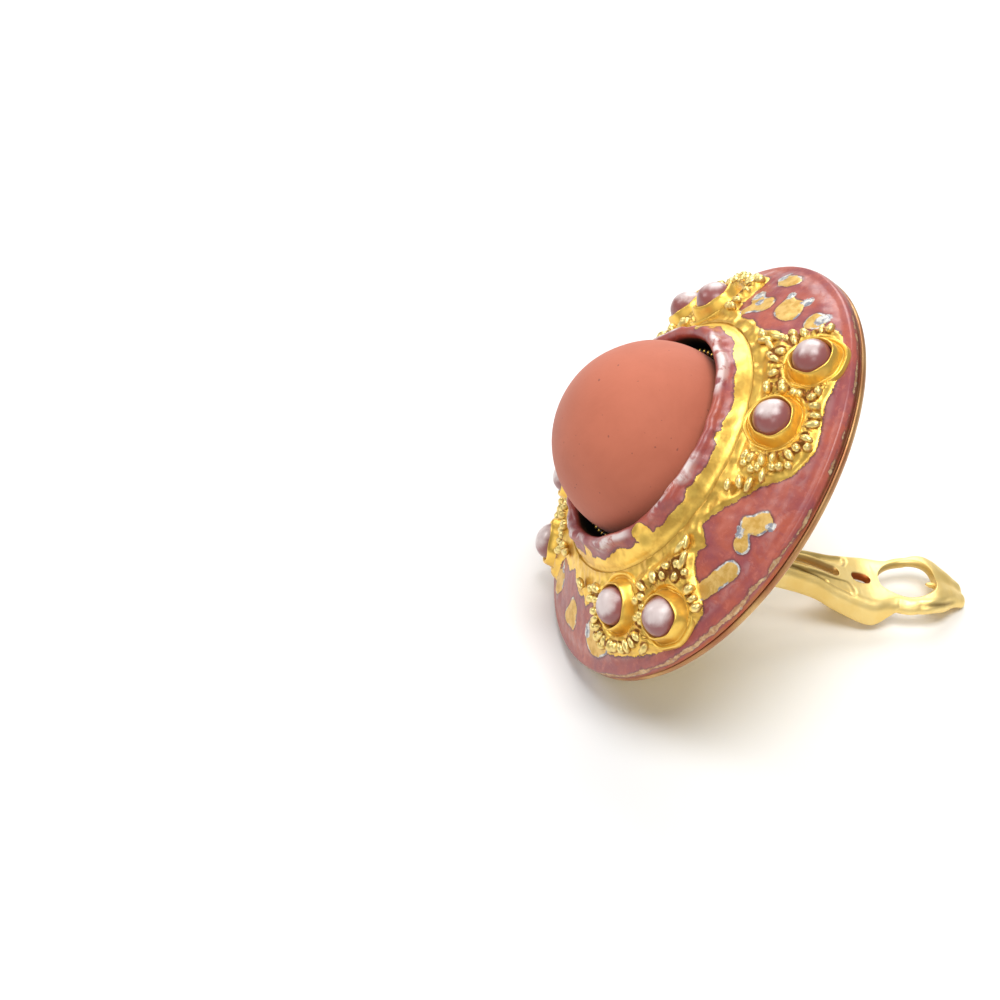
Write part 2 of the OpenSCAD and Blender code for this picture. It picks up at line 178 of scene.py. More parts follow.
# Half width of the lever: share of its length, then shares of the arm, shoulder and loop widths
LEVER_WIDTH = ((-0.06, 0.5, 0, 0), (0.3, 0.5, 0, 0), (0.43, 0.56, 0, 0), (0.52, 0.36, 0.19, 0),
               (0.6, 0, 0.46, 0), (0.665, 0, 0.5, 0), (0.72, 0, 0.46, 0), (0.765, 0, 0, 0.43),
               (0.83, 0, 0, 0.5), (0.89, 0, 0, 0.44), (0.935, 0, 0, 0.32), (0.98, 0, 0, 0.22),
               (1.01, 0, 0, 0.17))
# Lower edge of the lever's flanges: share of its length, height in mm
LEVER_FOOT = ((-0.055, -1.1), (0.1, -1.05), (0.43, -1.23), (0.53, -1.63), (0.66, -1.95),
              (0.715, -1.15), (0.75, -0.3), (0.8, -0.1), (0.86, 0.3), (0.92, 0.15), (0.96, 0.2),
              (1.0, 0.1))


def length(name, about, mm):
    """A length setting in metres, from its size in millimetres."""
    return bpy.props.FloatProperty(
        name=name, description=about, default=mm * MM, unit="LENGTH", subtype="DISTANCE",
        precision=5,
    )


def colour(name, about, rgb):
    """A linear colour setting."""
    return bpy.props.FloatVectorProperty(
        name=name, description=about, default=rgb, size=3, min=0, max=1, subtype="COLOR",
    )


class EarringSizes(bpy.types.PropertyGroup):
    """Sizes of the earring's surfaces."""

    edge_height: length("Edge height", "Height of the casting at its rim", 1.2)
    edge_inset: length("Edge inset", "Width of the rim's rounded corner", 0.3)
    flange_slope: bpy.props.FloatProperty(
        name="Flange slope", description="Rise of the flange towards the middle", default=0.49
    )
    bore_radius: length("Bore radius", "Inner radius of the collar", 8.3)
    lip_height: length("Lip height", "Height of the collar's lip", 6.4)
    lip_round: length("Lip roundness", "Radius of the lip's half round", 0.45)
    foot_radius: length("Foot radius", "Outer radius of the collar's foot", 10.5)
    floor_height: length("Floor height", "Height of the floor under the dome", 2.6)
    dome_radius: length("Dome radius", "Radius of the matte dome", 7.5)
    dome_height: length("Dome height", "Height of the dome's centre", 5.0)
    bezel_height: length("Bezel height", "Height of the toothed wall above the floor", 2.1)
    bezel_wall: length("Bezel wall", "Thickness of the toothed wall", 0.25)
    bezel_teeth: bpy.props.IntProperty(
        name="Bezel teeth", description="Number of teeth round the dome", default=72, min=12
    )
    pearl_radius: length("Pearl radius", "Radius of a pearl knob", 1.45)
    pearl_rise: length("Pearl rise", "Height of a pearl's centre above the flange", 0.65)
    socket_radius: length("Socket radius", "Radius of a socket at its foot", 2.0)
    socket_height: length("Socket height", "Height of a socket above the flange", 1.1)
    crust_height: length("Crust height", "Thickness of the crust on the flange", 0.28)
    leaf_height: length("Leaf height", "Height of a flake of leaf on the enamel", 0.04)
    lever_length: length("Lever length", "Length from the pin to the tip", 23.0)
    arm_width: length("Arm width", "Width of the lever's arms", 3.5)
    shoulder_width: length("Shoulder width", "Width of the lever's shoulders", 6.6)
    loop_width: length("Loop width", "Width of the lever's loop", 6.8)
    loop_rim: length("Loop rim", "Width of the metal round the loop's hole", 1.3)
    slot_width: length("Slot width", "Width of the slot between the arms", 1.1)
    sheet: length("Sheet", "Thickness of the lever's sheet", 0.7)
    lever_angle: bpy.props.FloatProperty(
        name="Lever angle", description="Angle between the lever and the back plate",
        default=np.radians(70), unit="ROTATION", subtype="ANGLE",
    )
    pin_radius: length("Pin radius", "Radius of the hinge pin", 0.45)
    ear_thickness: length("Ear thickness", "Thickness of an ear of the bracket", 0.8)
    ear_gap: length("Ear gap", "Room between the lever and an ear", 0.25)
    bracket_foot: length("Bracket foot", "Thickness of the bracket's foot", 0.6)


class EarringColours(bpy.types.PropertyGroup):
    """Colours of the earring's finishes and of the studio."""

    rose: colour("Rose enamel", "Main colour of the enamel", (0.46, 0.1, 0.06))
    mauve: colour("Mauve enamel", "Cooler patches in the enamel", (0.31, 0.068, 0.075))
    blush: colour("Blush enamel", "Lighter patches in the enamel", (0.57, 0.165, 0.115))
    # Pearly white: the pearls' own swirls, and painted highlights on the collar's lip, the rim and
    # the pearls
    pearly: colour("Pearly white", "Streaks on the collar and the pearls", (0.86, 0.77, 0.74))
    gold: colour("Bright gold", "Gilding in the light", (1.0, 0.66, 0.13))
    # Amber gold: cloudy patches of the gilding, and painted shade in its hollows
    amber: colour("Amber gold", "Gilding in recesses", (0.62, 0.34, 0.05))
    grains: colour("Pale gold", "Granules of the crust", (1.0, 0.8, 0.3))
    # Painted shade in the deepest pits between the granules
    umber: colour("Umber", "Deepest pits between the granules", (0.25, 0.085, 0.012))
    leaf: colour("Leaf gold", "Flakes of gold leaf", (0.84, 0.56, 0.18))
    silver: colour("Silver", "Silver ground at the leaf's edges", (0.78, 0.76, 0.7))
    slate: colour("Slate", "Tarnished patches of the silver", (0.3, 0.31, 0.36))
    # Dark outline: painted shadow just outside the gilding and leaf, a dark line round the worn
    # strip, and specks on the dome
    outline: colour("Dark outline", "Tarnish round the gilding", (0.11, 0.04, 0.045))
    worn: colour("Worn edge", "Worn metal round the rim", (0.8, 0.6, 0.34))
    copper: colour("Copper brown", "The lowest part of the rim", (0.42, 0.17, 0.07))
    clay: colour("Matte clay", "The dome", (0.58, 0.17, 0.098))
    clay_dark: colour("Dark clay", "Darker mottling of the dome", (0.5, 0.14, 0.078))
    pearl: colour("Pearl mauve", "Body of the pearl knobs", (0.3, 0.094, 0.088))
    clip: colour("Satin gold", "The clip and the back", (1.0, 0.79, 0.34))
    clip_warm: colour("Warm satin gold", "Warmer patches on the clip", (0.93, 0.67, 0.22))
    # Painted shade on the rounded rims of the lever's catch and slot
    lacquer: colour("Old lacquer", "Red brown in the lever's narrow slots", (0.36, 0.09, 0.015))
    # Painted shade in the clip's creases and on the rims of its openings
    tarnish: colour("Tarnish", "Olive brown in the clip's creases", (0.2, 0.12, 0.03))
    moat: colour("Moat", "The dark gap round the dome", (0.006, 0.006, 0.007))
    floor: colour("Floor", "The studio floor", (0.9, 0.9, 0.895))


# Shapes


def placed(points):
    """Points of the disc's frame in mm, moved into the CAD frame in metres."""
    return (SEAM + np.asarray(points) @ AXES) * MM


def mm(settings, *names):
    """Length settings as numbers in millimetres."""
    return [getattr(settings, name) / MM for name in names]


def soft_step(value):
    """0 below 0, 1 above 1, and 3v^2 - 2v^3 between them."""
    value = np.clip(value, 0, 1)
    return value * value * (3 - 2 * value)


def degrees_off(angle, at):
    """Degrees between angles in radians and one direction in degrees, the short way round."""
    return np.abs((np.degrees(angle) - at + 180) % 360 - 180)


def waves(x, y, span, seed):
    """Smooth random field of about -1 to 1: the sum of eleven sine waves of nearly one span, each
    along its own direction, over the root of their number."""
    count = 11
    random = np.random.default_rng(seed)
    turns = random.uniform(0, TURN, count)
    shifts = random.uniform(0, TURN, count)
    paces = TURN / (span * random.uniform(0.7, 1.5, count))
    total = 0
    for turn, shift, pace in zip(turns, shifts, paces):
        total = total + np.sin(pace * (x * np.cos(turn) + y * np.sin(turn)) + shift)
    return total / np.sqrt(count * 0.9)


def nuggets(x, y, size, seed):
    """Round lumps of height 0 to 1: one jittered centre in each square cell, and a half sphere
    round the nearest of them. The fractions of a large sine give each cell its own jitter."""
    lump_radius = 0.72
    column, row = np.floor(x / size), np.floor(y / size)
    nearest = np.full(np.shape(x), 9.0)
    for step_x in (-1, 0, 1):
        for step_y in (-1, 0, 1):
            cell_x, cell_y = column + step_x, row + step_y
            mix = np.sin(cell_x * 127.1 + cell_y * 311.7 + seed * 74.7) * 43758.5453
            jitter_x = mix - np.floor(mix)
            jitter_y = mix * 7.13 - np.floor(mix * 7.13)
            gap = np.hypot(cell_x + 0.15 + 0.7 * jitter_x - x / size,
                           cell_y + 0.15 + 0.7 * jitter_y - y / size)
            nearest = np.minimum(nearest, gap)
    return np.sqrt(np.clip(1 - (nearest / lump_radius) ** 2, 0, 1))


def spline(points, steps, closed=False):
    """Smooth curve through the points: each stretch is a cubic, and at each point it runs along
    the line between the two neighbouring points."""
    points = np.asarray(points, float)
    count = len(points)
    index = np.arange(count if closed else count - 1)
    if closed:
        before, first, second, after = (points[(index + k) % count] for k in (-1, 0, 1, 2))
    else:
        before, first, second, after = (
            points[np.clip(index + k, 0, count - 1)] for k in (-1, 0, 1, 2)
        )
    share = (np.arange(steps) / steps)[None, :, None]
    before, first, second, after = (p[:, None, :] for p in (before, first, second, after))
    curve = 0.5 * (
        2 * first + (second - before) * share
        + (2 * before - 5 * first + 4 * second - after) * share**2
        + (3 * first - before - 3 * second + after) * share**3
    )
    curve = curve.reshape(-1, points.shape[1])
    return curve if closed else np.vstack([curve, points[-1:]])


def depth_inside(x, y, outline):
    """How far each point lies inside a closed outline, less than 0 outside: the distance to the
    nearest side, with its sign from the number of sides that a ray crosses."""
    nearest = np.full(np.shape(x), np.inf)
    inside = np.zeros(np.shape(x), bool)
    for (ax, ay), (bx, by) in zip(outline, np.roll(outline, -1, 0)):
        along = (x - ax) * (bx - ax) + (y - ay) * (by - ay)
        along = np.clip(along / ((bx - ax) ** 2 + (by - ay) ** 2 + 1e-12), 0, 1)
        nearest = np.minimum(nearest, np.hypot(x - ax - along * (bx - ax),
                                               y - ay - along * (by - ay)))
        crossed = ((ay > y) != (by > y)) & (
            x < (bx - ax) * (y - ay) / (by - ay + 1e-12) + ax
        )
        inside ^= crossed
    return np.where(inside, nearest, -nearest)


def gilding_depth(x, y):
    """How far each point lies inside the gilding that starts at the collar's foot."""
    reach = np.array(GILD_REACH)
    angle = np.radians(reach[:, 0])
    outline = np.c_[reach[:, 1] * np.cos(angle), reach[:, 1] * np.sin(angle)]
    return depth_inside(x, y, spline(outline, 3, closed=True))


def leaf_depth(x, y):
    """How far each point lies inside the nearest flake of leaf."""
    deepest = np.full(np.shape(x), OUTSIDE)
    for flake in LEAF_FLAKES:
        deepest = np.maximum(deepest, depth_inside(x, y, spline(flake, 3, closed=True)))
    return deepest


def round_knobs(x, y):
    """Distance to the foot of the nearest knob, seen square to the flange, and the angle round
    that knob."""
    down_slope = 1.11  # length along the slope for each mm seen from above
    nearest, around = np.full(np.shape(x), np.inf), np.zeros(np.shape(x))
    for (kx, ky), (_, angle) in zip(KNOB_FEET, KNOBS):
        outward = down_slope * ((x - kx) * np.cos(angle) + (y - ky) * np.sin(angle))
        beside = (y - ky) * np.cos(angle) - (x - kx) * np.sin(angle)
        away = np.hypot(outward, beside)
        around = np.where(away < nearest, np.arctan2(beside, outward), around)
        nearest = np.minimum(nearest, away)
    return nearest, around


def flange_z(sizes, radius):
    """Height of the plain flange: a cone that falls from the collar's foot to the rim."""
    edge, inset = mm(sizes, "edge_height", "edge_inset")
    return edge + sizes.flange_slope * (RIM_R - inset - radius)


def crust_share(x, y, gilded):
    """1 on the crust fields round the pairs of knobs, and 0 off them and near the collar."""
    radius = np.hypot(x, y)
    from_middle = np.degrees(np.arctan2(y, x)) - PATTERN_TURN - CRUST_MIDDLE
    aside = np.abs((from_middle + 45) % 90 - 45) + 2.5 * waves(x, y, 2.6, 7)
    return (soft_step(gilded / 0.6) * soft_step((32 - aside) / 11)
            * soft_step((radius - 10.9) / 0.9))


def granule_spots():
    """Rows [x, y, knob, turn round it, kind, ring] of the granules: rings round every knob with a
    little scatter, kept where they lie on the gilding, nearest their own knob and a step apart.
    Nuggets thin out towards the rim, and the innermost ring is kept only beside a near knob."""
    random = np.random.default_rng(71)
    across_slope = 0.92  # how far the rings are narrowed along the slope
    inner_r, outer_r, near_knob = 11.3, 16.1, 3.0
    wanted = []
    for knob, (_, angle) in enumerate(KNOBS):
        for ring, (reach, number, kind) in enumerate(GRANULE_RINGS):
            turn = (np.arange(number) + random.uniform(-0.3, 0.3, number)) * TURN / number
            away = reach + random.uniform(-0.1, 0.1, number) * (1 + (kind > 0))
            down, beside = away * np.cos(turn) * across_slope, away * np.sin(turn)
            x = KNOB_FEET[knob, 0] + down * np.cos(angle) - beside * np.sin(angle)
            y = KNOB_FEET[knob, 1] + down * np.sin(angle) + beside * np.cos(angle)
            wanted.append(np.c_[x, y, np.full(number, knob), turn, np.full(number, kind),
                                np.full(number, ring)])
    wanted = np.vstack(wanted)
    x, y, _, _, kind, ring = wanted.T
    apart = np.hypot(x[:, None] - KNOB_FEET[:, 0], y[:, None] - KNOB_FEET[:, 1])
    second = np.sort(apart, 1)[:, 1]
    radius = np.hypot(x, y)
    wish = np.where(kind == NUGGET, 0.9 * soft_step((15.3 - radius) / 1.5), 0.96)
    wanted = wanted[(gilding_depth(x, y) > 0.3) & (radius > inner_r) & (radius < outer_r)
                    & (apart.argmin(1) == wanted[:, 2]) & (random.random(len(x)) < wish)
                    & ((ring > 0) | (second < near_knob))]
    spots = []
    for spot in wanted:
        room = 0.44 if spot[4] < NUGGET else 0.52
        if not spots or np.hypot(*(np.array(spots)[:, :2] - spot[:2]).T).min() > room:
            spots.append(spot)
    return np.array(spots)


def grid_faces(rows, columns, close_rows=False):
    """Quads between neighbouring points of a grid stored row by row, whose rows are rings."""
    row = np.arange(rows if close_rows else rows - 1)
    row, column = np.meshgrid(row, np.arange(columns), indexing="ij")
    next_row, next_column = (row + 1) % rows, (column + 1) % columns
    corners = (row * columns + column, row * columns + next_column,
               next_row * columns + next_column, next_row * columns + column)
    return np.stack([c.ravel() for c in corners], 1)


def turned(profile, columns, wobble=None):
    """Points of a profile [radius, height] turned about the disc's axis, row by row. A wobble
    moves the radii and heights first."""
    angle = np.arange(columns) * TURN / columns
    radius, height = (np.repeat(profile[:, k, None], columns, 1) for k in (0, 1))
    angle = np.repeat(angle[None], len(profile), 0)
    if wobble is not None:
        radius, height = wobble(angle, radius, height)
    return np.stack([radius * np.cos(angle), radius * np.sin(angle), height], -1).reshape(-1, 3)


def capped(points, columns, mirrored=False):
    """A turned grid and its faces, with a fan of triangles round a point of its own at each end.
    Mirrored faces look the other way, for a profile that runs from the outside inwards."""
    total = len(points)
    rows = total // columns
    faces = grid_faces(rows, columns).tolist()
    ring = np.arange(columns)
    tips = []
    for start, flip in ((0, True), ((rows - 1) * columns, False)):
        here, following = start + ring, start + (ring + 1) % columns
        pairs = zip(following, here) if flip else zip(here, following)
        faces += [[int(a), int(b), total + len(tips)] for a, b in pairs]
        tips.append(points[start:start + columns].mean(0, keepdims=True))
    if mirrored:
        faces = [face[::-1] for face in faces]
    return np.vstack([points, *tips]), faces


def slope_axes(sizes, cosine, sine):
    """Directions down the flange's slope, beside it and out of it, where the radius runs along
    (cosine, sine)."""
    lean = np.arctan(sizes.flange_slope)
    radial = np.stack([cosine, sine, 0 * cosine], -1)
    beside = np.stack([-sine, cosine, 0 * cosine], -1)
    down = np.cos(lean) * radial - [0, 0, np.sin(lean)]
    out = np.sin(lean) * radial + [0, 0, np.cos(lean)]
    return down, beside, out


def knob_frame(sizes, index):
    """Middle of a knob's foot on the flange, and its directions down the slope, beside and out."""
    radius, angle = KNOBS[index]
    middle = [*KNOB_FEET[index], flange_z(sizes, radius)]
    return np.array(middle), np.array(slope_axes(sizes, np.cos(angle), np.sin(angle)))


def on_pin(points, angle):
    """Points of the lever [across, along, up] turned about the hinge pin, in the disc's frame."""
    x, along, up = points.T
    _, pin_y, pin_z = PIN
    cosine, sine = np.cos(angle), np.sin(angle)
    return np.c_[x, pin_y + along * cosine + up * sine, pin_z - along * sine + up * cosine]


def piece(name, points, faces, finish, body, node, values=None, merge=False):
    """Makes a mesh object of points in the disc's frame, with its finish and body, and hides the CAD
    node that it stands in for.
    The values are numbers on its points that the finish reads. Merging welds points that meet."""
    mesh = bpy.data.meshes.new(name)
    faces = faces.tolist() if isinstance(faces, np.ndarray) else faces
    mesh.from_pydata(placed(points).tolist(), [], faces)
    for label, numbers in (values or {}).items():
        layer = mesh.attributes.new(label, "FLOAT", "POINT")
        layer.data.foreach_set("value", np.ravel(numbers).astype(np.float32))
    if merge:
        shape = bmesh.new()
        shape.from_mesh(mesh)
        bmesh.ops.remove_doubles(shape, verts=shape.verts, dist=1e-7)
        bmesh.ops.recalc_face_normals(shape, faces=shape.faces)
        shape.to_mesh(mesh)
        shape.free()
    mesh.polygons.foreach_set("use_smooth", np.ones(len(mesh.polygons), bool))
    mesh.materials.append(finish)
    mesh.update()
    made = bpy.data.objects.new(name, mesh)
    bpy.context.scene.collection.objects.link(made)
    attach(made, body)
    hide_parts(node)


# Finishes


def plug(tree, node, inputs):
    """Links or sets inputs of a node. A plain colour of three numbers becomes an opaque one."""
    for key, value in inputs.items():
        socket = node.inputs[key]
        if isinstance(value, bpy.types.NodeSocket):
            tree.links.new(value, socket)
        elif socket.type == "RGBA":
            socket.default_value = (*value[:3], 1.0)
        else:
            socket.default_value = value


def add(tree, kind, inputs=None, **settings):
    """Adds a node, sets its settings, and sets or links its inputs."""
    made = tree.nodes.new(kind)
    for name, value in settings.items():
        setattr(made, name, value)
    plug(tree, made, inputs or {})
    return made


def maths(tree, operation, first, second):
    """Result of a Math node."""
    return add(tree, "ShaderNodeMath", {0: first, 1: second}, operation=operation).outputs[0]


def plus(tree, first, second):
    """Sum of two values."""
    return maths(tree, "ADD", first, second)


def minus(tree, first, second):
    """First value less the second."""
    return maths(tree, "SUBTRACT", first, second)


def times(tree, first, second):
    """Product of two values."""
    return maths(tree, "MULTIPLY", first, second)


def most(tree, first, *others):
    """Largest of some values."""
    for other in others:
        first = maths(tree, "MAXIMUM", first, other)
    return first


def blended(tree, share, first, second):
    """Colour mixed from two colours by a mask. The Mix node keeps its colours at sockets 6 and 7,
    and its mixed colour at 2."""
    return add(tree, "ShaderNodeMix", {0: share, 6: first, 7: second},
               data_type="RGBA").outputs[2]


def ranged(tree, value, low, high, new_low=0.0, new_high=1.0):
    """Value moved from one range to another, smoothly and with clamped ends."""
    return add(tree, "ShaderNodeMapRange",
               {"Value": value, "From Min": low, "From Max": high, "To Min": new_low,
                "To Max": new_high}, interpolation_type="SMOOTHSTEP").outputs[0]


def on_object(tree):
    """The object's coordinates in metres."""
    return add(tree, "ShaderNodeTexCoord").outputs["Object"]


def noise(tree, scale, detail=3.0, roughness=0.55, distortion=0.0):
    """Noise of a scale per metre on the object's coordinates."""
    return add(tree, "ShaderNodeTexNoise",
               {"Vector": on_object(tree), "Scale": scale, "Detail": detail,
                "Roughness": roughness, "Distortion": distortion}).outputs[0]


def group(name, inputs, outputs):
    """Starts a shader node group with named inputs (kind, default) and outputs (kind). Returns
    its tree, what it is given, and the node that takes its results."""
    tree = bpy.data.node_groups.new(name, "ShaderNodeTree")
    for label, (kind, default) in inputs.items():
        socket = tree.interface.new_socket(label, in_out="INPUT", socket_type=kind)
        socket.default_value = default
    for label, kind in outputs.items():
        tree.interface.new_socket(label, in_out="OUTPUT", socket_type=kind)
    return tree, tree.nodes.new("NodeGroupInput").outputs, tree.nodes.new("NodeGroupOutput")


NUMBER, RGBA = "NodeSocketFloat", "NodeSocketColor"


def mottle_group(name):
    """Two colours in soft clouds, with finer clouds inside them."""
    tree, given, result = group(
        name,
        {"First": (RGBA, (1, 1, 1, 1)), "Second": (RGBA, (0, 0, 0, 1)),
         "Clouds": (NUMBER, 300.0), "Contrast": (NUMBER, 0.3)},
        {"Colour": RGBA},
    )
    mask = ranged(tree, noise(tree, given["Clouds"], 4.0, 0.6, 0.4),
                  minus(tree, 0.5, given["Contrast"]), plus(tree, 0.5, given["Contrast"]))
    plug(tree, result, {"Colour": blended(tree, mask, given["First"], given["Second"])})
    return tree


def ragged_group(name):
    """A clean mask from a depth in mm, with an edge roughened by coarse and fine noise."""
    tree, given, result = group(
        name,
        {"Depth": (NUMBER, 0.0), "Ragged": (NUMBER, 0.2), "Soft": (NUMBER, 0.02)},
        {"Mask": NUMBER, "Moved": NUMBER},
    )
    coarse = minus(tree, noise(tree, 1500.0, 2.0, 0.5), 0.5)
    fine = minus(tree, noise(tree, 5200.0, 2.0, 0.6), 0.5)
    shift = times(tree, plus(tree, coarse, times(tree, fine, 0.6)), given["Ragged"])
    moved = plus(tree, given["Depth"], times(tree, shift, 2.0))
    mask = ranged(tree, moved, times(tree, given["Soft"], -1.0), given["Soft"])
    plug(tree, result, {"Mask": mask, "Moved": moved})
    return tree


def grain_group(name):
    """Fine grain: a height and a roughness that vary together."""
    tree, given, result = group(
        name,
        {"Grains": (NUMBER, 4000.0), "Base": (NUMBER, 0.4), "Spread": (NUMBER, 0.1)},
        {"Height": NUMBER, "Roughness": NUMBER},
    )
    grain = noise(tree, given["Grains"], 3.0, 0.65)
    spread = times(tree, minus(tree, grain, 0.5), given["Spread"])
    plug(tree, result, {"Height": grain,
                        "Roughness": plus(tree, given["Base"], times(tree, spread, 2.0))})
    return tree


def gilding_group(name):
    """Gold that turns amber in cloudy patches and in painted shade, and dark brown where the painted
    shade is deepest.
    """
    tree, given, result = group(
        name,
        {"Bright": (RGBA, (1, 0.7, 0.2, 1)), "Deep": (RGBA, (0.7, 0.3, 0.02, 1)),
         "Pit": (RGBA, (0.2, 0.07, 0.01, 1)),
         "Recess": (NUMBER, 0.0), "Clouds": (NUMBER, 700.0), "Patchy": (NUMBER, 0.5)},
        {"Colour": RGBA},
    )
    clouds = ranged(tree, noise(tree, given["Clouds"], 3.0, 0.6, 0.3), 0.38, 0.66)
    deep = most(tree, times(tree, clouds, given["Patchy"]), given["Recess"])
    tone = blended(tree, deep, given["Bright"], given["Deep"])
    pit = ranged(tree, given["Recess"], 0.6, 1.0)
    plug(tree, result, {"Colour": blended(tree, pit, tone, given["Pit"])})
    return tree


EFFECTS = {"mottle": mottle_group, "ragged": ragged_group, "grain": grain_group,
           "gilding": gilding_group}


def use(tree, name, **inputs):
    """Outputs of a shared node group, built on first use, with its inputs set or linked."""
    shared = bpy.data.node_groups.get(name) or EFFECTS[name](name)
    return add(tree, "ShaderNodeGroup", inputs, node_tree=shared).outputs


def mottled(tree, first, second, clouds, contrast):
    """Colour of the shared mottle."""
    return use(tree, "mottle", First=first, Second=second, Clouds=clouds,
               Contrast=contrast)["Colour"]


def attribute(tree, name):
    """A number that the piece carries on its points."""
    return add(tree, "ShaderNodeAttribute", attribute_name=name).outputs["Fac"]


def ragged(tree, name, rough, soft):
    """The shared ragged edge on a depth that the piece carries."""
    return use(tree, "ragged", Depth=attribute(tree, name), Ragged=rough, Soft=soft)


def finish(name):
    """A new material with its Principled shader; returns the material, tree and shader."""
    made = bpy.data.materials.new(name)
    made.use_nodes = True
    tree = made.node_tree
    tree.nodes.clear()
    shader = tree.nodes.new("ShaderNodeBsdfPrincipled")
    add(tree, "ShaderNodeOutputMaterial", {"Surface": shader.outputs[0]})
    return made, tree, shader


def relief(tree, shader, height, depth_mm, strength):
    """Bump from a height of 0 to 1 that stands for depth_mm."""
    bump = add(tree, "ShaderNodeBump", {"Height": height, "Distance": depth_mm * MM,
                                       "Strength": strength})
    plug(tree, shader, {"Normal": bump.outputs[0]})


def crust_cracks(tree):
    """Fine cracks between small cells of the crust, broken up by noise."""
    cells = add(tree, "ShaderNodeTexVoronoi", {"Vector": on_object(tree), "Scale": 1700.0},
                feature="DISTANCE_TO_EDGE").outputs["Distance"]
    cracks = times(tree, ranged(tree, cells, 0.02, 0.16, 1.0, 0.0), attribute(tree, "crusted"))
    return times(tree, cracks, ranged(tree, noise(tree, 900.0, 2.0), 0.44, 0.6))


def enamel_tone(tree, tints, gold_depth):
    """Rose with mauve and blush patches, pearly streaks that are partly painted highlight, and a
    painted shadow line just outside the gold.
    """
    tone = mottled(tree, tints.rose, tints.mauve, 330.0, 0.16)
    bloom = ranged(tree, noise(tree, 520.0, 3.0, 0.6, 0.6), 0.5, 0.75, 0.0, 0.5)
    tone = blended(tree, bloom, tone, tints.blush)
    fine = noise(tree, 1900.0, 3.0, 0.7, 0.4)
    tone = blended(tree, ranged(tree, fine, 0.54, 0.72, 0.0, 0.5), tone, tints.mauve)
    tone = blended(tree, ranged(tree, fine, 0.46, 0.3, 0.0, 0.45), tone, tints.blush)
    # Pearly streaks where the piece asks for them, partly painted highlight, broken up by noise
    milky = ranged(tree, noise(tree, 800.0, 3.0, 0.6, 1.0), 0.36, 0.56, 0.0, 0.85)
    tone = blended(tree, times(tree, attribute(tree, "streak"), milky), tone, tints.pearly)
    # Painted shadow: a dark line just outside the raised gilding and leaf
    return blended(tree, ranged(tree, gold_depth, -0.22, -0.01, 0.0, 0.75), tone, tints.outline)


def silver_share(tree, leaf, spots):
    """1 on broken lines along the leaf's edges, and on the silver spots where they meet leaf."""
    line = times(tree, ranged(tree, leaf, -0.04, 0.0), ranged(tree, leaf, 0.08, 0.15, 1.0, 0.0))
    line = times(tree, line, ranged(tree, noise(tree, 800.0, 2.0), 0.48, 0.56))
    return most(tree, line, times(tree, spots, ranged(tree, leaf, -0.3, -0.22)))


def rubbed_tone(tree, tints):
    """Worn metal in copper clouds, with slate flecks."""
    fleck = ranged(tree, noise(tree, 3000.0, 2.0, 0.6), 0.62, 0.7, 0.0, 0.5)
    return blended(tree, fleck, mottled(tree, tints.worn, tints.copper, 2100.0, 0.3), tints.slate)


def enamel_and_gold(tints):
    """Rose enamel with gilding, leaf and silver where the piece's depths say so. Each layer of
    colour covers those before it."""
    made, tree, shader = finish("rose_enamel_and_gold")
    gilded = ragged(tree, "gilded", 0.2, 0.025)
    leafed = ragged(tree, "leafed", 0.1, 0.02)
    silvered = ragged(tree, "silvered", 0.35, 0.05)
    strip = ragged(tree, "worn", 0.2, 0.04)
    silver = silver_share(tree, leafed["Moved"], silvered["Mask"])
    low_rim, dark = attribute(tree, "copper"), attribute(tree, "dark")
    cracks = crust_cracks(tree)
    # Painted shade in the hollows of the crust and in its cracks
    recess = most(tree, attribute(tree, "recess"), times(tree, cracks, 0.85))

    surface = enamel_tone(tree, tints, most(tree, gilded["Moved"], leafed["Moved"]))
    flake = use(tree, "gilding", Bright=tints.leaf, Deep=tints.amber, Clouds=1500.0,
                Patchy=0.75)["Colour"]
    bright = use(tree, "gilding", Bright=tints.gold, Deep=tints.amber, Pit=tints.umber,
                 Recess=recess, Clouds=620.0, Patchy=0.72)["Colour"]
    for share, tone in (
        (leafed["Mask"], flake),
        (gilded["Mask"], bright),
        (silver, mottled(tree, tints.silver, tints.slate, 2400.0, 0.1)),
        (low_rim, mottled(tree, tints.copper, tints.rose, 900.0, 0.2)),
        (ranged(tree, strip["Moved"], -0.14, -0.01, 0.0, 0.6), tints.outline),
        (strip["Mask"], rubbed_tone(tree, tints)),
        (dark, tints.moat),
    ):
        surface = blended(tree, share, surface, tone)

    lit = minus(tree, 1.0, dark)
    metal = most(tree, times(tree, gilded["Mask"], 0.74), times(tree, leafed["Mask"], 0.6),
                 times(tree, silver, 0.6), times(tree, strip["Mask"], 0.7), low_rim)
    metal = times(tree, metal, lit)
    grain = use(tree, "grain", Grains=3800.0, Base=0.38, Spread=0.16)
    satin = times(tree, most(tree, leafed["Mask"], strip["Mask"]), 0.16)
    glaze = times(tree, minus(tree, 1.0, metal), times(tree, lit, 0.22))
    plug(tree, shader, {"Base Color": surface, "Metallic": metal, "Coat Weight": glaze,
                        "Roughness": plus(tree, grain["Roughness"], satin),
                        "Coat Roughness": 0.22})

    step = minus(tree, most(tree, gilded["Mask"], leafed["Mask"]), times(tree, cracks, 0.8))
    hammered = times(tree, noise(tree, 1000.0, 4.0, 0.55), 0.7)
    fine = plus(tree, hammered, times(tree, grain["Height"], 0.12))
    relief(tree, shader, plus(tree, times(tree, step, 0.5), fine), 0.06, 0.9)
    return made


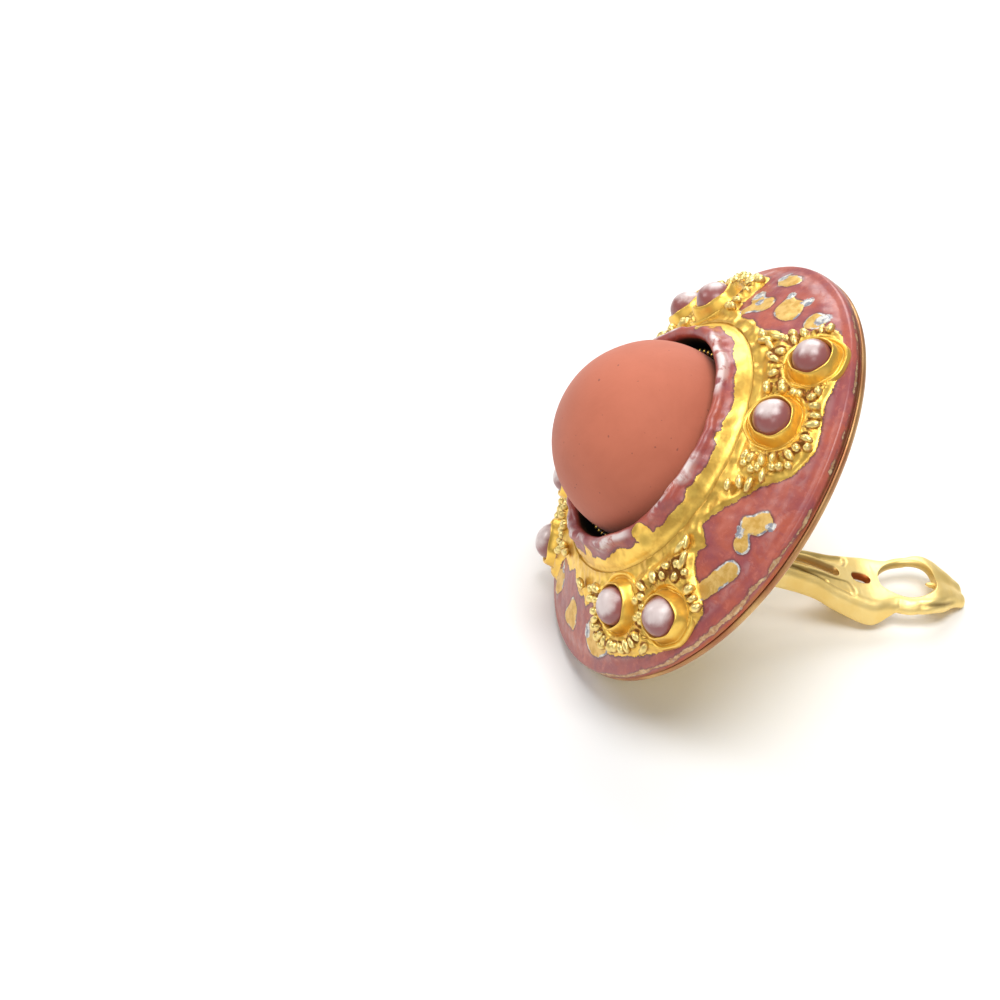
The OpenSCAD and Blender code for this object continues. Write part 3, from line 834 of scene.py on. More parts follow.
def bright_gilding(name, tints, tint, rough, bumps):
    """Bright gold for sockets and granules, amber and dark brown where the piece carries painted
    shade.
    """
    made, tree, shader = finish(name)
    tone = use(tree, "gilding", Bright=tint, Deep=tints.amber, Pit=tints.umber,
               Recess=attribute(tree, "recess"), Clouds=800.0, Patchy=0.35)
    grain = use(tree, "grain", Grains=2600.0, Base=rough, Spread=0.14)
    plug(tree, shader, {"Base Color": tone["Colour"], "Metallic": 0.76,
                        "Roughness": grain["Roughness"]})
    relief(tree, shader, noise(tree, 1200.0, 2.0, 0.5), 0.04, bumps)
    return made


def pearl_enamel(tints):
    """Mauve pearl with white swirls under a clear coat, whiter still at the painted highlight that
    each pearl carries.
    """
    made, tree, shader = finish("pearl_enamel")
    cloud = minus(tree, noise(tree, 650.0, 4.0, 0.6, 0.8), 0.5)
    crown = plus(tree, attribute(tree, "crown"), times(tree, cloud, 1.1))
    swirl = ranged(tree, crown, 0.26, 1.0, 0.0, 0.76)
    grain = use(tree, "grain", Grains=2200.0, Base=0.34, Spread=0.1)
    plug(tree, shader, {"Base Color": blended(tree, swirl, tints.pearl, tints.pearly),
                        "Roughness": grain["Roughness"],
                        "Coat Weight": 0.5, "Coat Roughness": 0.28})
    relief(tree, shader, noise(tree, 1100.0, 3.0, 0.5), 0.06, 0.8)
    return made


def matte_clay(tints):
    """Matte terracotta with soft clouds, dark specks and a fine powdery grain."""
    made, tree, shader = finish("matte_clay")
    tone = mottled(tree, tints.clay, tints.clay_dark, 210.0, 0.3)
    speck = ranged(tree, noise(tree, 2600.0, 1.0, 0.4), 0.74, 0.79, 0.0, 0.5)
    grain = use(tree, "grain", Grains=5200.0, Base=0.72, Spread=0.08)
    plug(tree, shader, {"Base Color": blended(tree, speck, tone, tints.outline),
                        "Roughness": grain["Roughness"], "Specular IOR Level": 0.3,
                        "Sheen Weight": 0.12, "Sheen Roughness": 0.5})
    relief(tree, shader, grain["Height"], 0.012, 0.6)
    return made


def satin_gold(tints, name, recess_tint):
    """Pale satin gold with warm clouds, fine grain, drawn lines across it, painted shade in its
    creases, and a tint where the piece carries painted shade, and along the plate's seam."""
    made, tree, shader = finish(name)
    tone = mottled(tree, tints.clip, tints.clip_warm, 330.0, 0.22)
    tone = blended(tree, attribute(tree, "crease"), tone, tints.tarnish)
    tone = blended(tree, attribute(tree, "recess"), tone, recess_tint)
    drawn = add(tree, "ShaderNodeMapping", {"Vector": on_object(tree),
                                            "Scale": (260.0, 4200.0, 4200.0)})
    lines = add(tree, "ShaderNodeTexNoise", {"Vector": drawn.outputs[0], "Scale": 1.0,
                                             "Detail": 2.0}).outputs[0]
    scratches = times(tree, ranged(tree, lines, 0.56, 0.7), 0.12)
    grain = use(tree, "grain", Grains=3000.0, Base=0.43, Spread=0.1)
    plug(tree, shader, {"Base Color": tone, "Metallic": 0.7,
                        "Roughness": plus(tree, grain["Roughness"], scratches)})
    height = plus(tree, noise(tree, 620.0, 3.0, 0.5), times(tree, grain["Height"], 0.2))
    relief(tree, shader, minus(tree, height, scratches), 0.05, 0.7)
    return made


def blackened_teeth(tints):
    """Blackened metal with gold left on the tips of the teeth."""
    made, tree, shader = finish("blackened_teeth")
    tip = ragged(tree, "tip", 0.25, 0.05)["Mask"]
    grain = use(tree, "grain", Grains=4000.0, Base=0.35, Spread=0.1)
    plug(tree, shader, {"Base Color": blended(tree, tip, tints.moat, tints.gold),
                        "Metallic": tip, "Roughness": grain["Roughness"]})
    relief(tree, shader, grain["Height"], 0.01, 0.5)
    return made


def studio_floor(tints):
    """Plain pale floor with a barely visible mottle."""
    made, tree, shader = finish("pale_floor")
    dimmer = [0.985 * c for c in tints.floor]
    plug(tree, shader, {"Base Color": mottled(tree, tints.floor, dimmer, 30.0, 0.4),
                        "Roughness": 0.8, "Specular IOR Level": 0.2})
    return made


FINISHES = {
    "face": enamel_and_gold,
    "sleeve": lambda tints: bright_gilding("sleeve_gilding", tints, tints.gold, 0.35, 0.35),
    "granule": lambda tints: bright_gilding("granule_gilding", tints, tints.grains, 0.34, 0.7),
    "pearl": pearl_enamel,
    "dome": matte_clay,
    "bezel": blackened_teeth,
    "back": lambda tints: satin_gold(tints, "gilt_back", tints.copper),
    "clip": lambda tints: satin_gold(tints, "gilt_clip", tints.lacquer),
}
MADE = {}


def finish_of(context, name):
    """The finish of that name, made when a piece first needs it."""
    if name not in MADE:
        MADE[name] = FINISHES[name](context.scene.earring_colours)
    return MADE[name]


# Pieces

# What the enamel and gold read at each point of the face, and their values on plain enamel
FACE_VALUES = {"gilded": OUTSIDE, "leafed": OUTSIDE, "silvered": OUTSIDE, "recess": 0.0,
               "worn": OUTSIDE, "copper": 0.0, "dark": 0.0, "streak": 0.0, "crusted": 0.0}


def face_values(count, **own):
    """The face's numbers for a piece of so many points, plain where it gives none of its own."""
    return {name: own.get(name, np.full(count, plain)) for name, plain in FACE_VALUES.items()}


def joined(parts):
    """Points and faces of several parts, each given as (points, faces), in one."""
    points, faces, total = [], [], 0
    for own, sides in parts:
        points.append(own)
        faces += [[int(corner) + total for corner in side] for side in sides]
        total += len(own)
    return np.vstack(points), faces


def flange_profile(sizes):
    """Profile [radius, height] of the flange: a cone that sags towards the rim, a rounded edge and
    a flat underside. Also tells how many of its rows are the cone and the edge."""
    inset = sizes.edge_inset / MM
    inner_r, sag_from = 10.35, 15.4
    cone_r = np.linspace(inner_r, RIM_R - inset - 0.35, 70)
    sag = 0.25 * np.clip((cone_r - sag_from) / 1.35, 0, 2) ** 2
    cone = np.c_[cone_r, flange_z(sizes, cone_r) - sag]
    end_z = cone[-1, 1]
    edge = spline([(RIM_R - 0.5, end_z - 0.08), (RIM_R - 0.24, end_z - 0.2),
                   (RIM_R - 0.09, end_z - 0.3), (RIM_R - 0.02, 0.72), (RIM_R, 0.42),
                   (RIM_R - 0.02, 0.16), (RIM_R - 0.1, 0.06), (RIM_R - 0.22, 0.02)], 3)
    under = np.array([(RIM_R - 0.6, 0.01), (13.0, 0.01), (inner_r, 0.01), (10.3, 2.2)])
    return np.vstack([cone, edge, under]), len(cone), len(edge)


def rim_wear(x, y, z, radius, end_z):
    """How far each point lies inside the worn strip of the rim. Its two borders wander with
    waves. The upper border lies lower in places, and at the top and the bottom of the disc."""
    round_x, round_y = RIM_R * x / radius, RIM_R * y / radius
    upper = end_z - 0.38 + 0.07 * waves(round_x, round_y, 4.5, 61)
    upper -= 0.5 * soft_step(waves(round_x, round_y, 5.0, 62) * 2 - 2.2)
    upper -= 0.29 * soft_step((round_y - 3) / 4 + 0.4 * waves(round_x, round_y, 8.0, 64))
    upper -= 0.1 * soft_step((-round_y - 7) / 6)
    lower = 0.52 + 0.08 * waves(round_x, round_y, 2.5, 63)
    return np.minimum(upper - z, z - lower)


class EARRING_OT_flange(bpy.types.Operator):
    """Sloping enamelled flange with its gilding, crust, leaf flakes and worn rim"""

    bl_idname = "earring.flange"
    bl_label = "Flange"

    def execute(self, context):
        """Height over the plain cone is a sum of soft steps and waves that the depths inside
        the gilding and the flakes drive, along the cone's normal."""
        sizes = context.scene.earring_sizes
        leaf, crust = mm(sizes, "leaf_height", "crust_height")
        columns = 1000
        profile, cone_rows, edge_rows = flange_profile(sizes)
        end_z = profile[cone_rows - 1, 1]
        points = turned(profile, columns).reshape(len(profile), columns, 3)
        x, y, z = (points[..., k] for k in (0, 1, 2))
        radius = np.hypot(x, y)
        cone = slice(0, cone_rows)

        gilded, leafed, silvered = np.full((3, *x.shape), OUTSIDE)
        gilded[cone] = gilding_depth(x[cone], y[cone])
        leafed[cone] = leaf_depth(x[cone], y[cone])
        gold = soft_step(gilded / 0.3)
        knob, knob_turn = round_knobs(x, y)
        crusted = crust_share(x, y, gilded)
        clear_of_knobs = soft_step((knob - 2.0) / 0.35)

        # Granular ground, rays round the knobs, and painted shadow round the foot of every granule
        ray_count = 23
        granular = soft_step((3.5 - knob) / 0.5 + 0.4 * waves(x, y, 2.2, 5))
        granular = np.maximum(granular, soft_step((14.6 - radius) / 1.2))
        lumps = 0.1 * nuggets(x, y, 0.7, 3)
        rays = 0.5 + 0.5 * np.cos(ray_count * knob_turn + 1.6 * waves(x, y, 1.8, 15))
        rays = soft_step(rays * 1.3) * soft_step((5.6 - knob) / 1.6) * soft_step((knob - 2.4) / 0.4)
        beds = np.zeros(x.shape)
        for spot_x, spot_y in granule_spots()[:, :2]:
            away = np.hypot(x[cone] - spot_x, y[cone] - spot_y)
            beds[cone] = np.maximum(beds[cone], 0.95 * soft_step((0.6 - away) / 0.15))

        height = crusted * clear_of_knobs * (crust + granular * lumps + 0.12 * rays)
        height += gold * (0.1 + 0.05 * waves(x, y, 1.9, 11) + 0.02 * waves(x, y, 0.8, 12))
        height += leaf * soft_step(leafed / 0.1)
        height += 0.025 * waves(x, y, 3.4, 21) + 0.012 * waves(x, y, 1.1, 22)
        on_cone = np.zeros(len(profile))
        on_cone[cone] = soft_step((RIM_R - 0.35 - profile[cone, 0]) / 0.5)
        height *= on_cone[:, None]
        lean = np.arctan(sizes.flange_slope)
        points[..., 0] += height * np.sin(lean) * x / radius
        points[..., 1] += height * np.sin(lean) * y / radius
        points[..., 2] = z + height * np.cos(lean)

        # x, y and z look into the points, so from here on they are the raised ones
        on_edge = np.zeros((len(profile), 1), bool)
        on_edge[cone_rows - 3:cone_rows + edge_rows] = True
        worn = np.where(on_edge, rim_wear(x, y, z, radius, end_z), OUTSIDE)
        copper = on_edge * soft_step((0.5 - z) / 0.15)
        for spot_x, spot_y, spot_r in SILVER_SPOTS:
            silvered = np.maximum(silvered, spot_r - np.hypot(x - spot_x, y - spot_y))
        # Painted shade: in the hollows between the rays, round the granules, in the granular ground,
        # and amber at the collar's foot
        valleys = (1 - rays) * soft_step((5.2 - knob) / 1.4)
        pits = np.maximum(beds, 0.9 * valleys * (0.7 + 0.4 * waves(x, y, 1.3, 9)))
        pits = np.maximum(pits, 0.35 * granular * (0.5 + 0.5 * waves(x, y, 1.6, 10)))
        recess = crusted * soft_step((knob - 2.3) / 0.2) * np.clip(pits, 0, 1)
        recess = np.maximum(recess, 0.62 * soft_step((10.8 - radius) / 0.35) * gold)
        # Painted highlight: a light band along the roll of the rim
        bloom = 0.12 * soft_step((radius - 15.4) / 0.4) * soft_step((16.3 - radius) / 0.3)
        piece("enamelled_flange", points.reshape(-1, 3),
              grid_faces(len(profile), columns, close_rows=True), finish_of(context, "face"),
              "earring", "cast_face",
              face_values(x.size, gilded=gilded, leafed=leafed, silvered=silvered, recess=recess,
                          worn=worn, copper=copper, streak=bloom,
                          crusted=crusted * clear_of_knobs * granular))
        return {"FINISHED"}


def lip_waves(angle, span, seed):
    """Waves read along a circle that runs inside the collar's lip."""
    return waves(LIP_R * np.cos(angle), LIP_R * np.sin(angle), span, seed)


class EARRING_OT_collar(bpy.types.Operator):
    """Raised collar with its dark bore, uneven glazed lip and gilded foot"""

    bl_idname = "earring.collar"
    bl_label = "Collar"

    def execute(self, context):
        """A profile turned on the axis; its lip sways in and out, up and down with waves."""
        sizes = context.scene.earring_sizes
        bore, lip_z, lip, foot, floor = mm(sizes, "bore_radius", "lip_height", "lip_round",
                                           "foot_radius", "floor_height")
        columns = 900
        half = np.radians(np.linspace(180, 0, 15))
        crest = np.c_[bore + lip + lip * np.cos(half), lip_z - lip + lip * np.sin(half)]
        bore_wall = np.c_[np.full(12, bore), np.linspace(floor + 0.05, lip_z - lip - 0.05, 12)]
        foot_z = float(flange_z(sizes, foot))
        outside = spline([(bore + 2 * lip + 0.03, lip_z - lip - 0.15),
                          (bore + 2 * lip + 0.25, lip_z - lip - 0.6), (foot - 0.55, foot_z + 0.55),
                          (foot - 0.33, foot_z + 0.2), (foot - 0.08, foot_z + 0.02),
                          (foot + 0.16, foot_z - 0.16)], 7)
        inner = np.array([(7.0, floor), (7.4, floor), (7.9, floor), (bore - 0.1, floor)])
        under = np.array([(foot + 0.1, foot_z - 0.6), (foot - 0.4, 2.2), (7.0, 2.2)])
        profile = np.vstack([inner, bore_wall, crest, outside, under])
        high = soft_step((profile[:, 1] - foot_z) / 1.2) * (profile[:, 1] > floor + 0.5)
        outer = soft_step((profile[:, 0] - bore) / 0.5)

        def sway(angle, radius, height):
            """Moves the outer side in and out, and the lip up and down."""
            width = 0.1 * lip_waves(angle, 5.0, 31) + 0.045 * lip_waves(angle, 1.7, 32)
            rise = 0.09 * lip_waves(angle, 6.5, 33) + 0.03 * lip_waves(angle, 1.9, 34) - 0.08
            bulge = 0.05 * waves(LIP_R * np.cos(angle) + radius, LIP_R * np.sin(angle), 1.5, 35)
            return (radius + (high * outer)[:, None] * (width + bulge),
                    height + (high * soft_step((profile[:, 1] - 5.0) / 1.0))[:, None] * rise)

        points = turned(profile, columns, sway)
        angle = np.arctan2(points[:, 1], points[:, 0])
        radius, height = (np.repeat(profile[:, k], columns) for k in (0, 1))
        in_bore = (height < lip_z - lip + 0.1) & (radius < bore + 0.3)
        drips = 0.11 * lip_waves(angle, 3.5, 41) + 0.05 * lip_waves(angle, 1.3, 42)
        gilded = radius - GILT_R + 0.2 * np.clip(np.cos(angle - 0.3), 0, 1) - drips
        for at, middle, width in COLLAR_WEAR:
            along = np.radians(degrees_off(angle, at)) * WEAR_R
            gilded = np.maximum(gilded, width - np.hypot(along * 0.7, radius - middle))
        # Pearly streaks along the lip, partly painted highlight
        streak = np.zeros(len(points))
        for at, span in LIP_STREAKS:
            streak = np.maximum(streak, soft_step((span - degrees_off(angle, at)) / 8 + 0.5))
        lane = STREAK_R + 0.12 * lip_waves(angle, 4.0, 43)
        streak *= soft_step((0.34 - np.abs(radius - lane)) / 0.25) * ~in_bore
        dark = np.where(in_bore, soft_step((lip_z - lip + 0.05 - height) / 0.35), 0)
        # Painted shade: amber where the collar's foot meets the flange
        piece("glazed_collar", points, grid_faces(len(profile), columns, close_rows=True),
              finish_of(context, "face"), "earring", "cast_face",
              face_values(len(points), gilded=np.where(in_bore, OUTSIDE, 1.7 * gilded),
                          recess=0.6 * soft_step((radius - 10.05) / 0.35), dark=dark,
                          streak=streak))
        return {"FINISHED"}


class EARRING_OT_sockets(bpy.types.Operator):
    """Gilt sleeves that hold the pearls, each with a groove and a thin ring round its foot"""

    bl_idname = "earring.sockets"
    bl_label = "Sockets"

    def execute(self, context):
        """A profile turned about each knob's own axis, with radius and height swayed by waves."""
        sizes = context.scene.earring_sizes
        foot, top, pearl = mm(sizes, "socket_radius", "socket_height", "pearl_radius")
        columns = 96
        profile = spline([(pearl - 0.25, 0.35), (pearl - 0.04, 0.72), (pearl + 0.1, top - 0.06),
                          (pearl + 0.2, top - 0.02), (pearl + 0.3, top - 0.22),
                          (pearl + 0.4, 0.5), (foot - 0.04, 0.2), (foot + 0.08, 0.1),
                          (foot + 0.18, 0.22), (foot + 0.28, 0.28), (foot + 0.4, 0.24),
                          (foot + 0.5, -0.1)], 4)
        profile_r = profile[:, 0]
        groove = np.exp(-((profile_r - foot - 0.02) / 0.16) ** 2)
        seat = soft_step((pearl + 0.05 - profile_r) / 0.1)
        wall = (profile_r > pearl + 0.25) & (profile_r < foot)
        angle = np.arange(columns) * TURN / columns
        parts, recess = [], []
        for index in range(len(KNOBS)):
            random = np.random.default_rng(60 + index)
            shift = random.uniform(0, TURN, 4)
            middle, axes = knob_frame(sizes, index)
            width = (0.04 * np.sin(2 * angle + shift[0]) + 0.03 * np.sin(3 * angle + shift[1])
                     + 0.016 * np.sin(7 * angle + shift[2]))
            rise = 0.06 * np.sin(2 * angle + shift[3]) + 0.03 * np.sin(5 * angle + shift[1])
            radius = profile[:, 0, None] * (1 + width)
            height = profile[:, 1, None] + rise * soft_step(profile[:, 1, None] / 0.6)
            local = np.stack([radius * np.cos(angle), radius * np.sin(angle), height], -1)
            parts.append((middle + local.reshape(-1, 3) @ axes,
                          grid_faces(len(profile), columns)[:, ::-1]))
            # Painted shade: amber in the groove and the seat, and on the side of each wall that
            # faces down the disc
            downhill = soft_step(-(np.c_[np.cos(angle), np.sin(angle)] @ (axes[:2] @ UP_IN_DISC)))
            recess.append(np.maximum(np.maximum(0.55 * groove, seat)[:, None],
                                     0.7 * wall[:, None] * downhill[None]).ravel())
        points, faces = joined(parts)
        piece("knob_sockets", points, faces, finish_of(context, "sleeve"), "earring",
              "cast_face", {"recess": np.concatenate(recess)})
        return {"FINISHED"}


class EARRING_OT_granules(bpy.types.Operator):
    """Gold granules in rings round the sockets and strewn over the crust"""

    bl_idname = "earring.granules"
    bl_label = "Granules"

    def execute(self, context):
        """Eight-sided balls, each stretched by its own half sizes and dented at random. They stand
        on the cone at the granules' places, turned with the ring round their knob."""
        sizes = context.scene.earring_sizes
        spots = granule_spots()
        random = np.random.default_rng(72)
        count = len(spots)
        kind = spots[:, 4].astype(int)

        sides = 8
        rings = np.radians([-40, 0, 42])
        turn = np.arange(sides) * TURN / sides
        ball = np.vstack([[[0, 0, -1]]] + [
            np.c_[np.cos(r) * np.cos(turn), np.cos(r) * np.sin(turn), np.full(sides, np.sin(r))]
            for r in rings] + [[[0, 0, 1]]])
        tip = len(ball) - 1
        ball_faces = [[0, 1 + (k + 1) % sides, 1 + k] for k in range(sides)]
        ball_faces += (grid_faces(len(rings), sides) + 1).tolist()
        ball_faces += [[tip, tip - sides + k, tip - sides + (k + 1) % sides] for k in range(sides)]
        least, greatest = np.array(GRANULE_LEAST)[kind], np.array(GRANULE_MOST)[kind]
        half = least + (greatest - least) * random.random((count, 3))
        shape = ball[None] * half[:, None] * random.uniform(0.88, 1.12, (count, len(ball), 1))

        radius = np.hypot(spots[:, 0], spots[:, 1])
        down, beside, out = slope_axes(sizes, spots[:, 0] / radius, spots[:, 1] / radius)
        knob_angle = KNOBS[spots[:, 2].astype(int), 1]
        own = spots[:, 3] + knob_angle - np.arctan2(spots[:, 1], spots[:, 0])
        own += random.uniform(-0.3, 0.3, count) * (1 + (kind == NUGGET))
        along = np.cos(own)[:, None] * down + np.sin(own)[:, None] * beside
        across = np.cross(out, along)
        lift = 0.38 + random.uniform(-0.05, 0.12, count)
        base = np.c_[spots[:, :2], flange_z(sizes, radius)] + out * lift[:, None]
        points = (base[:, None] + shape[..., :1] * along[:, None]
                  + shape[..., 1:2] * across[:, None] + shape[..., 2:] * out[:, None])
        points, faces = joined((own_points, ball_faces) for own_points in points)
        # Painted shade on the lower half of every granule
        low = np.tile(0.8 * soft_step((0.3 - ball[:, 2]) / 0.5), count)
        piece("crust_granules", points, faces, finish_of(context, "granule"), "earring",
              "cast_face", {"recess": low})
        return {"FINISHED"}


class EARRING_OT_dome(bpy.types.Operator):
    """Matte cabochon in the collar, and the toothed wall round its foot"""

    bl_idname = "earring.dome"
    bl_label = "Dome and bezel"

    def execute(self, context):
        """The dome is a sphere cut at the floor. The wall is a ring whose outside and top follow
        a raised cosine, one wave for each tooth."""
        sizes = context.scene.earring_sizes
        ball, middle, floor = mm(sizes, "dome_radius", "dome_height", "floor_height")
        low = np.arcsin((floor + 0.06 - middle) / ball)
        rise = np.linspace(low, np.pi / 2 - 0.012, 110)
        profile = np.vstack([[(6.0, floor + 0.06)],
                             np.c_[ball * np.cos(rise), middle + ball * np.sin(rise)]])
        columns = 288
        points = turned(profile, columns)
        x, y, z = points.T
        out = (points - [0, 0, middle]) / ball
        points = points + out * (0.02 * waves(x + z, y - z, 9.0, 51))[:, None]
        points, faces = capped(points, columns)
        piece("matte_dome", points, faces, finish_of(context, "dome"), "earring", "dome")

        wall, tall = mm(sizes, "bezel_wall", "bezel_height")
        per_tooth = 6
        columns = sizes.bezel_teeth * per_tooth
        tooth = (0.5 + 0.5 * np.cos(np.arange(columns) * TURN / per_tooth)) ** 1.5
        inner, outer = ball + 0.05, ball + 0.05 + wall
        base = floor + 0.04
        top = base + tall
        # Corners of the wall's section: radius, height, and how far a tooth swells and lifts them
        corners = [(inner, base, 0, 0), (outer, base, 0.12, 0), (outer, top - 0.12, 0.12, 0),
                   (outer - 0.03, top, 0.08, 0.16), (inner + 0.08, top, 0, 0.16),
                   (inner, top - 0.1, 0, 0.1)]
        angle = np.arange(columns) * TURN / columns
        points, tip = [], []
        for radius, height, swell, lift in corners:
            reach = radius + swell * tooth
            points.append(np.c_[reach * np.cos(angle), reach * np.sin(angle), height + lift * tooth])
            tip.append(tooth - 0.72 if lift else np.full(columns, -0.3))
        piece("toothed_bezel", np.vstack(points),
              grid_faces(len(corners), columns, close_rows=True), finish_of(context, "bezel"),
              "earring", "bezel_ring", {"tip": np.concatenate(tip)})
        return {"FINISHED"}


class EARRING_OT_pearls(bpy.types.Operator):
    """Eight pearly knobs, each a slightly flattened and uneven ball"""

    bl_idname = "earring.pearls"
    bl_label = "Pearls"

    def execute(self, context):
        """A ball whose radius varies with waves, flattened along its knob's axis. Its whitest part
        is a painted highlight that looks up and outwards, a little aside at random."""
        sizes = context.scene.earring_sizes
        ball, rise = mm(sizes, "pearl_radius", "pearl_rise")
        rows, columns = 48, 96
        flattened = 0.93
        lift = np.linspace(-np.pi / 2 + 0.03, np.pi / 2 - 0.03, rows)
        profile = ball * np.c_[np.cos(lift), flattened * np.sin(lift)]
        for index in range(len(KNOBS)):
            middle, axes = knob_frame(sizes, index)
            points = turned(profile, columns)
            x, y, z = points.T
            random = np.random.default_rng(90 + index)
            # Painted highlight: whitest where the pearl faces up and outwards, towards the lights
            toward = axes @ UP_IN_DISC * 0.5 + [0, 0, 0.9] + random.uniform(-0.35, 0.35, 3)
            toward /= np.linalg.norm(toward)
            crown = np.append(points, [[0, 0, -ball], [0, 0, ball]], 0) @ toward / ball
            crown = soft_step((crown - 0.35) / 0.65)
            uneven = 0.022 * waves(x + z, y - 0.6 * z, 2.6, 80 + index)
            points, faces = capped(points * (1 + uneven)[:, None] + [0, 0, rise], columns)
            piece(f"pearly_knob_{index + 1}", middle + points @ axes, faces,
                  finish_of(context, "pearl"), "earring", f"pearl_{index + 1}",
                  {"crown": crown})
        return {"FINISHED"}


def slab(outline, low, high, rounding):
    """A plate of one outline between two heights: its rims follow a quarter circle inwards along
    the outline's own normals, and one many-sided face closes each side. The outline is seen from
    above, turning left."""
    outline = np.asarray(outline, float)
    ahead = np.roll(outline, -1, 0) - np.roll(outline, 1, 0)
    ahead /= np.linalg.norm(ahead, axis=1, keepdims=True)
    out = np.c_[ahead[:, 1], -ahead[:, 0]]
    quarter = np.radians(np.linspace(0, 90, 5))
    inward = rounding * (1 - np.sin(quarter))
    inward = np.concatenate([[rounding + 0.05], inward, inward[::-1], [rounding + 0.05]])
    height = rounding * (1 - np.cos(quarter))
    height = np.concatenate([[low], low + height, high - height[::-1], [high]])
    rows = [np.c_[outline - out * i, np.full(len(outline), h)] for i, h in zip(inward, height)]
    count = len(outline)
    faces = grid_faces(len(rows), count).tolist()
    faces.append(list(range(count))[::-1])
    faces.append(list(range((len(rows) - 1) * count, len(rows) * count)))
    return np.vstack(rows), faces


class EARRING_OT_back(bpy.types.Operator):
    """Gilt back plate, the bracket soldered to it, and the hinge pin"""

    bl_idname = "earring.back"
    bl_label = "Back plate, bracket and pin"

    def execute(self, context):
        """The plate is a turned profile, the bracket is three rounded slabs, and the pin is
        turned about the hinge's axis."""
        sizes = context.scene.earring_sizes
        look = finish_of(context, "back")
        pin, ear, gap, foot, arm = mm(sizes, "pin_radius", "ear_thickness", "ear_gap",
                                      "bracket_foot", "arm_width")
        edge = RIM_R - 0.05
        profile = spline([(edge - 0.5, -0.03), (edge - 0.12, -0.04), (edge - 0.02, -0.12),
                          (edge, -0.28), (edge - 0.08, -0.44), (edge - 0.22, -0.6),
                          (edge - 0.42, -PLATE_T + 0.02), (edge - 0.9, -PLATE_T)], 3)
        inside = np.c_[np.linspace(edge - 1.6, 0.4, 22), np.full(22, -PLATE_T)]
        profile = np.vstack([[(8.0, -0.03)], profile, inside])
        columns = 360
        points = turned(profile, columns)
        x, y, z = points.T
        rear = z < -PLATE_T + 0.01
        points[:, 2] += rear * 0.02 * waves(x, y, 5.0, 91)
        points, faces = capped(points, columns, mirrored=True)
        x, y, z = points.T
        # Darker copper on the plate's edge next to the seam with the casting
        seam = soft_step((z + 0.62) / 0.1) * soft_step((np.hypot(x, y) - edge + 0.5) / 0.2)
        seam *= 0.85 + 0.15 * waves(x, y, 3.0, 92)
        piece("gilt_back_plate", points, faces, look, "earring", "back_plate",
              {"recess": seam})

        _, pin_y, pin_z = PIN
        ear_in = arm / 2 + gap
        ear_out = ear_in + ear
        half_height, corner_r = 2.8, 0.5
        corner = np.radians(np.arange(0, 90, 15))
        foot_outline = np.vstack([
            np.c_[sx * (ear_out - corner_r) + corner_r * np.cos(corner + turn),
                  sy * (half_height - corner_r) + corner_r * np.sin(corner + turn)]
            for sx, sy, turn in ((1, 1, 0), (-1, 1, np.pi / 2), (-1, -1, np.pi),
                                 (1, -1, 1.5 * np.pi))])
        local, faces = slab(foot_outline, -PLATE_T - foot, -PLATE_T + 0.3, 0.18)
        parts = [(local + [0, pin_y, 0], faces)]
        round_r = pin + 0.75
        around = np.radians(np.linspace(180, 360, 25))
        ear_outline = np.vstack([
            np.c_[round_r * np.cos(around), pin_z + round_r * np.sin(around)],
            [(round_r + 0.05, -2.2), (round_r + 0.25, -1.5), (round_r + 0.4, -PLATE_T - 0.2),
             (-round_r - 0.4, -PLATE_T - 0.2), (-round_r - 0.25, -1.5), (-round_r - 0.05, -2.2)]])
        for low, high in ((-ear_out, -ear_in), (ear_in, ear_out)):
            local, faces = slab(ear_outline, low, high, 0.16)
            parts.append((np.c_[local[:, 2], local[:, 0] + pin_y, local[:, 1]], faces))
        points, faces = joined(parts)
        piece("clip_bracket", points, faces, look, "earring", "back_plate",
              {"recess": np.zeros(len(points))})

        half = spline([(0.12, ear_out + 0.3), (pin + 0.05, ear_out + 0.27),
                       (pin + 0.17, ear_out + 0.17), (pin + 0.18, ear_out + 0.07),
                       (pin + 0.02, ear_out + 0.02), (pin, ear_out - 0.1)], 3)
        profile = np.vstack([half, np.c_[half[::-1, 0], -half[::-1, 1]]])
        columns = 40
        local, faces = capped(turned(profile, columns), columns, mirrored=True)
        points = np.c_[local[:, 2], local[:, 0] + pin_y, local[:, 1] + pin_z]
        piece("pin_of_hinge", points, faces, look, "earring", "hinge_pin",
              {"recess": np.zeros(len(points))})
        return {"FINISHED"}


def arch(share):
    """Height of a half circle of radius 1 above each place from -1 to 1."""
    return np.sqrt(np.clip(1 - share**2, 0, 1))


def lever_stations(stops):
    """Places along the lever, with half cosine steps between the stops, so that they crowd
    towards every stop."""
    stations = stops[:1]
    for first, last, count in zip(stops[:-1], stops[1:], LEVER_COUNTS):
        share = 0.5 - 0.5 * np.cos(np.pi * np.arange(1, count + 1) / count)
        stations += list(first + (last - first) * share)
    return np.array(stations)


def along_lever(table, s, long, *weights):
    """Values at the lever's stations on a smooth curve through a table: the sum of its columns
    after the first, each times its weight."""
    table = np.array(table, float)
    values = sum(weight * table[:, k] for k, weight in enumerate(weights, 1))
    curve = spline(np.c_[table[:, 0] * long, values], 16)
    return np.interp(s, curve[:, 0], curve[:, 1])


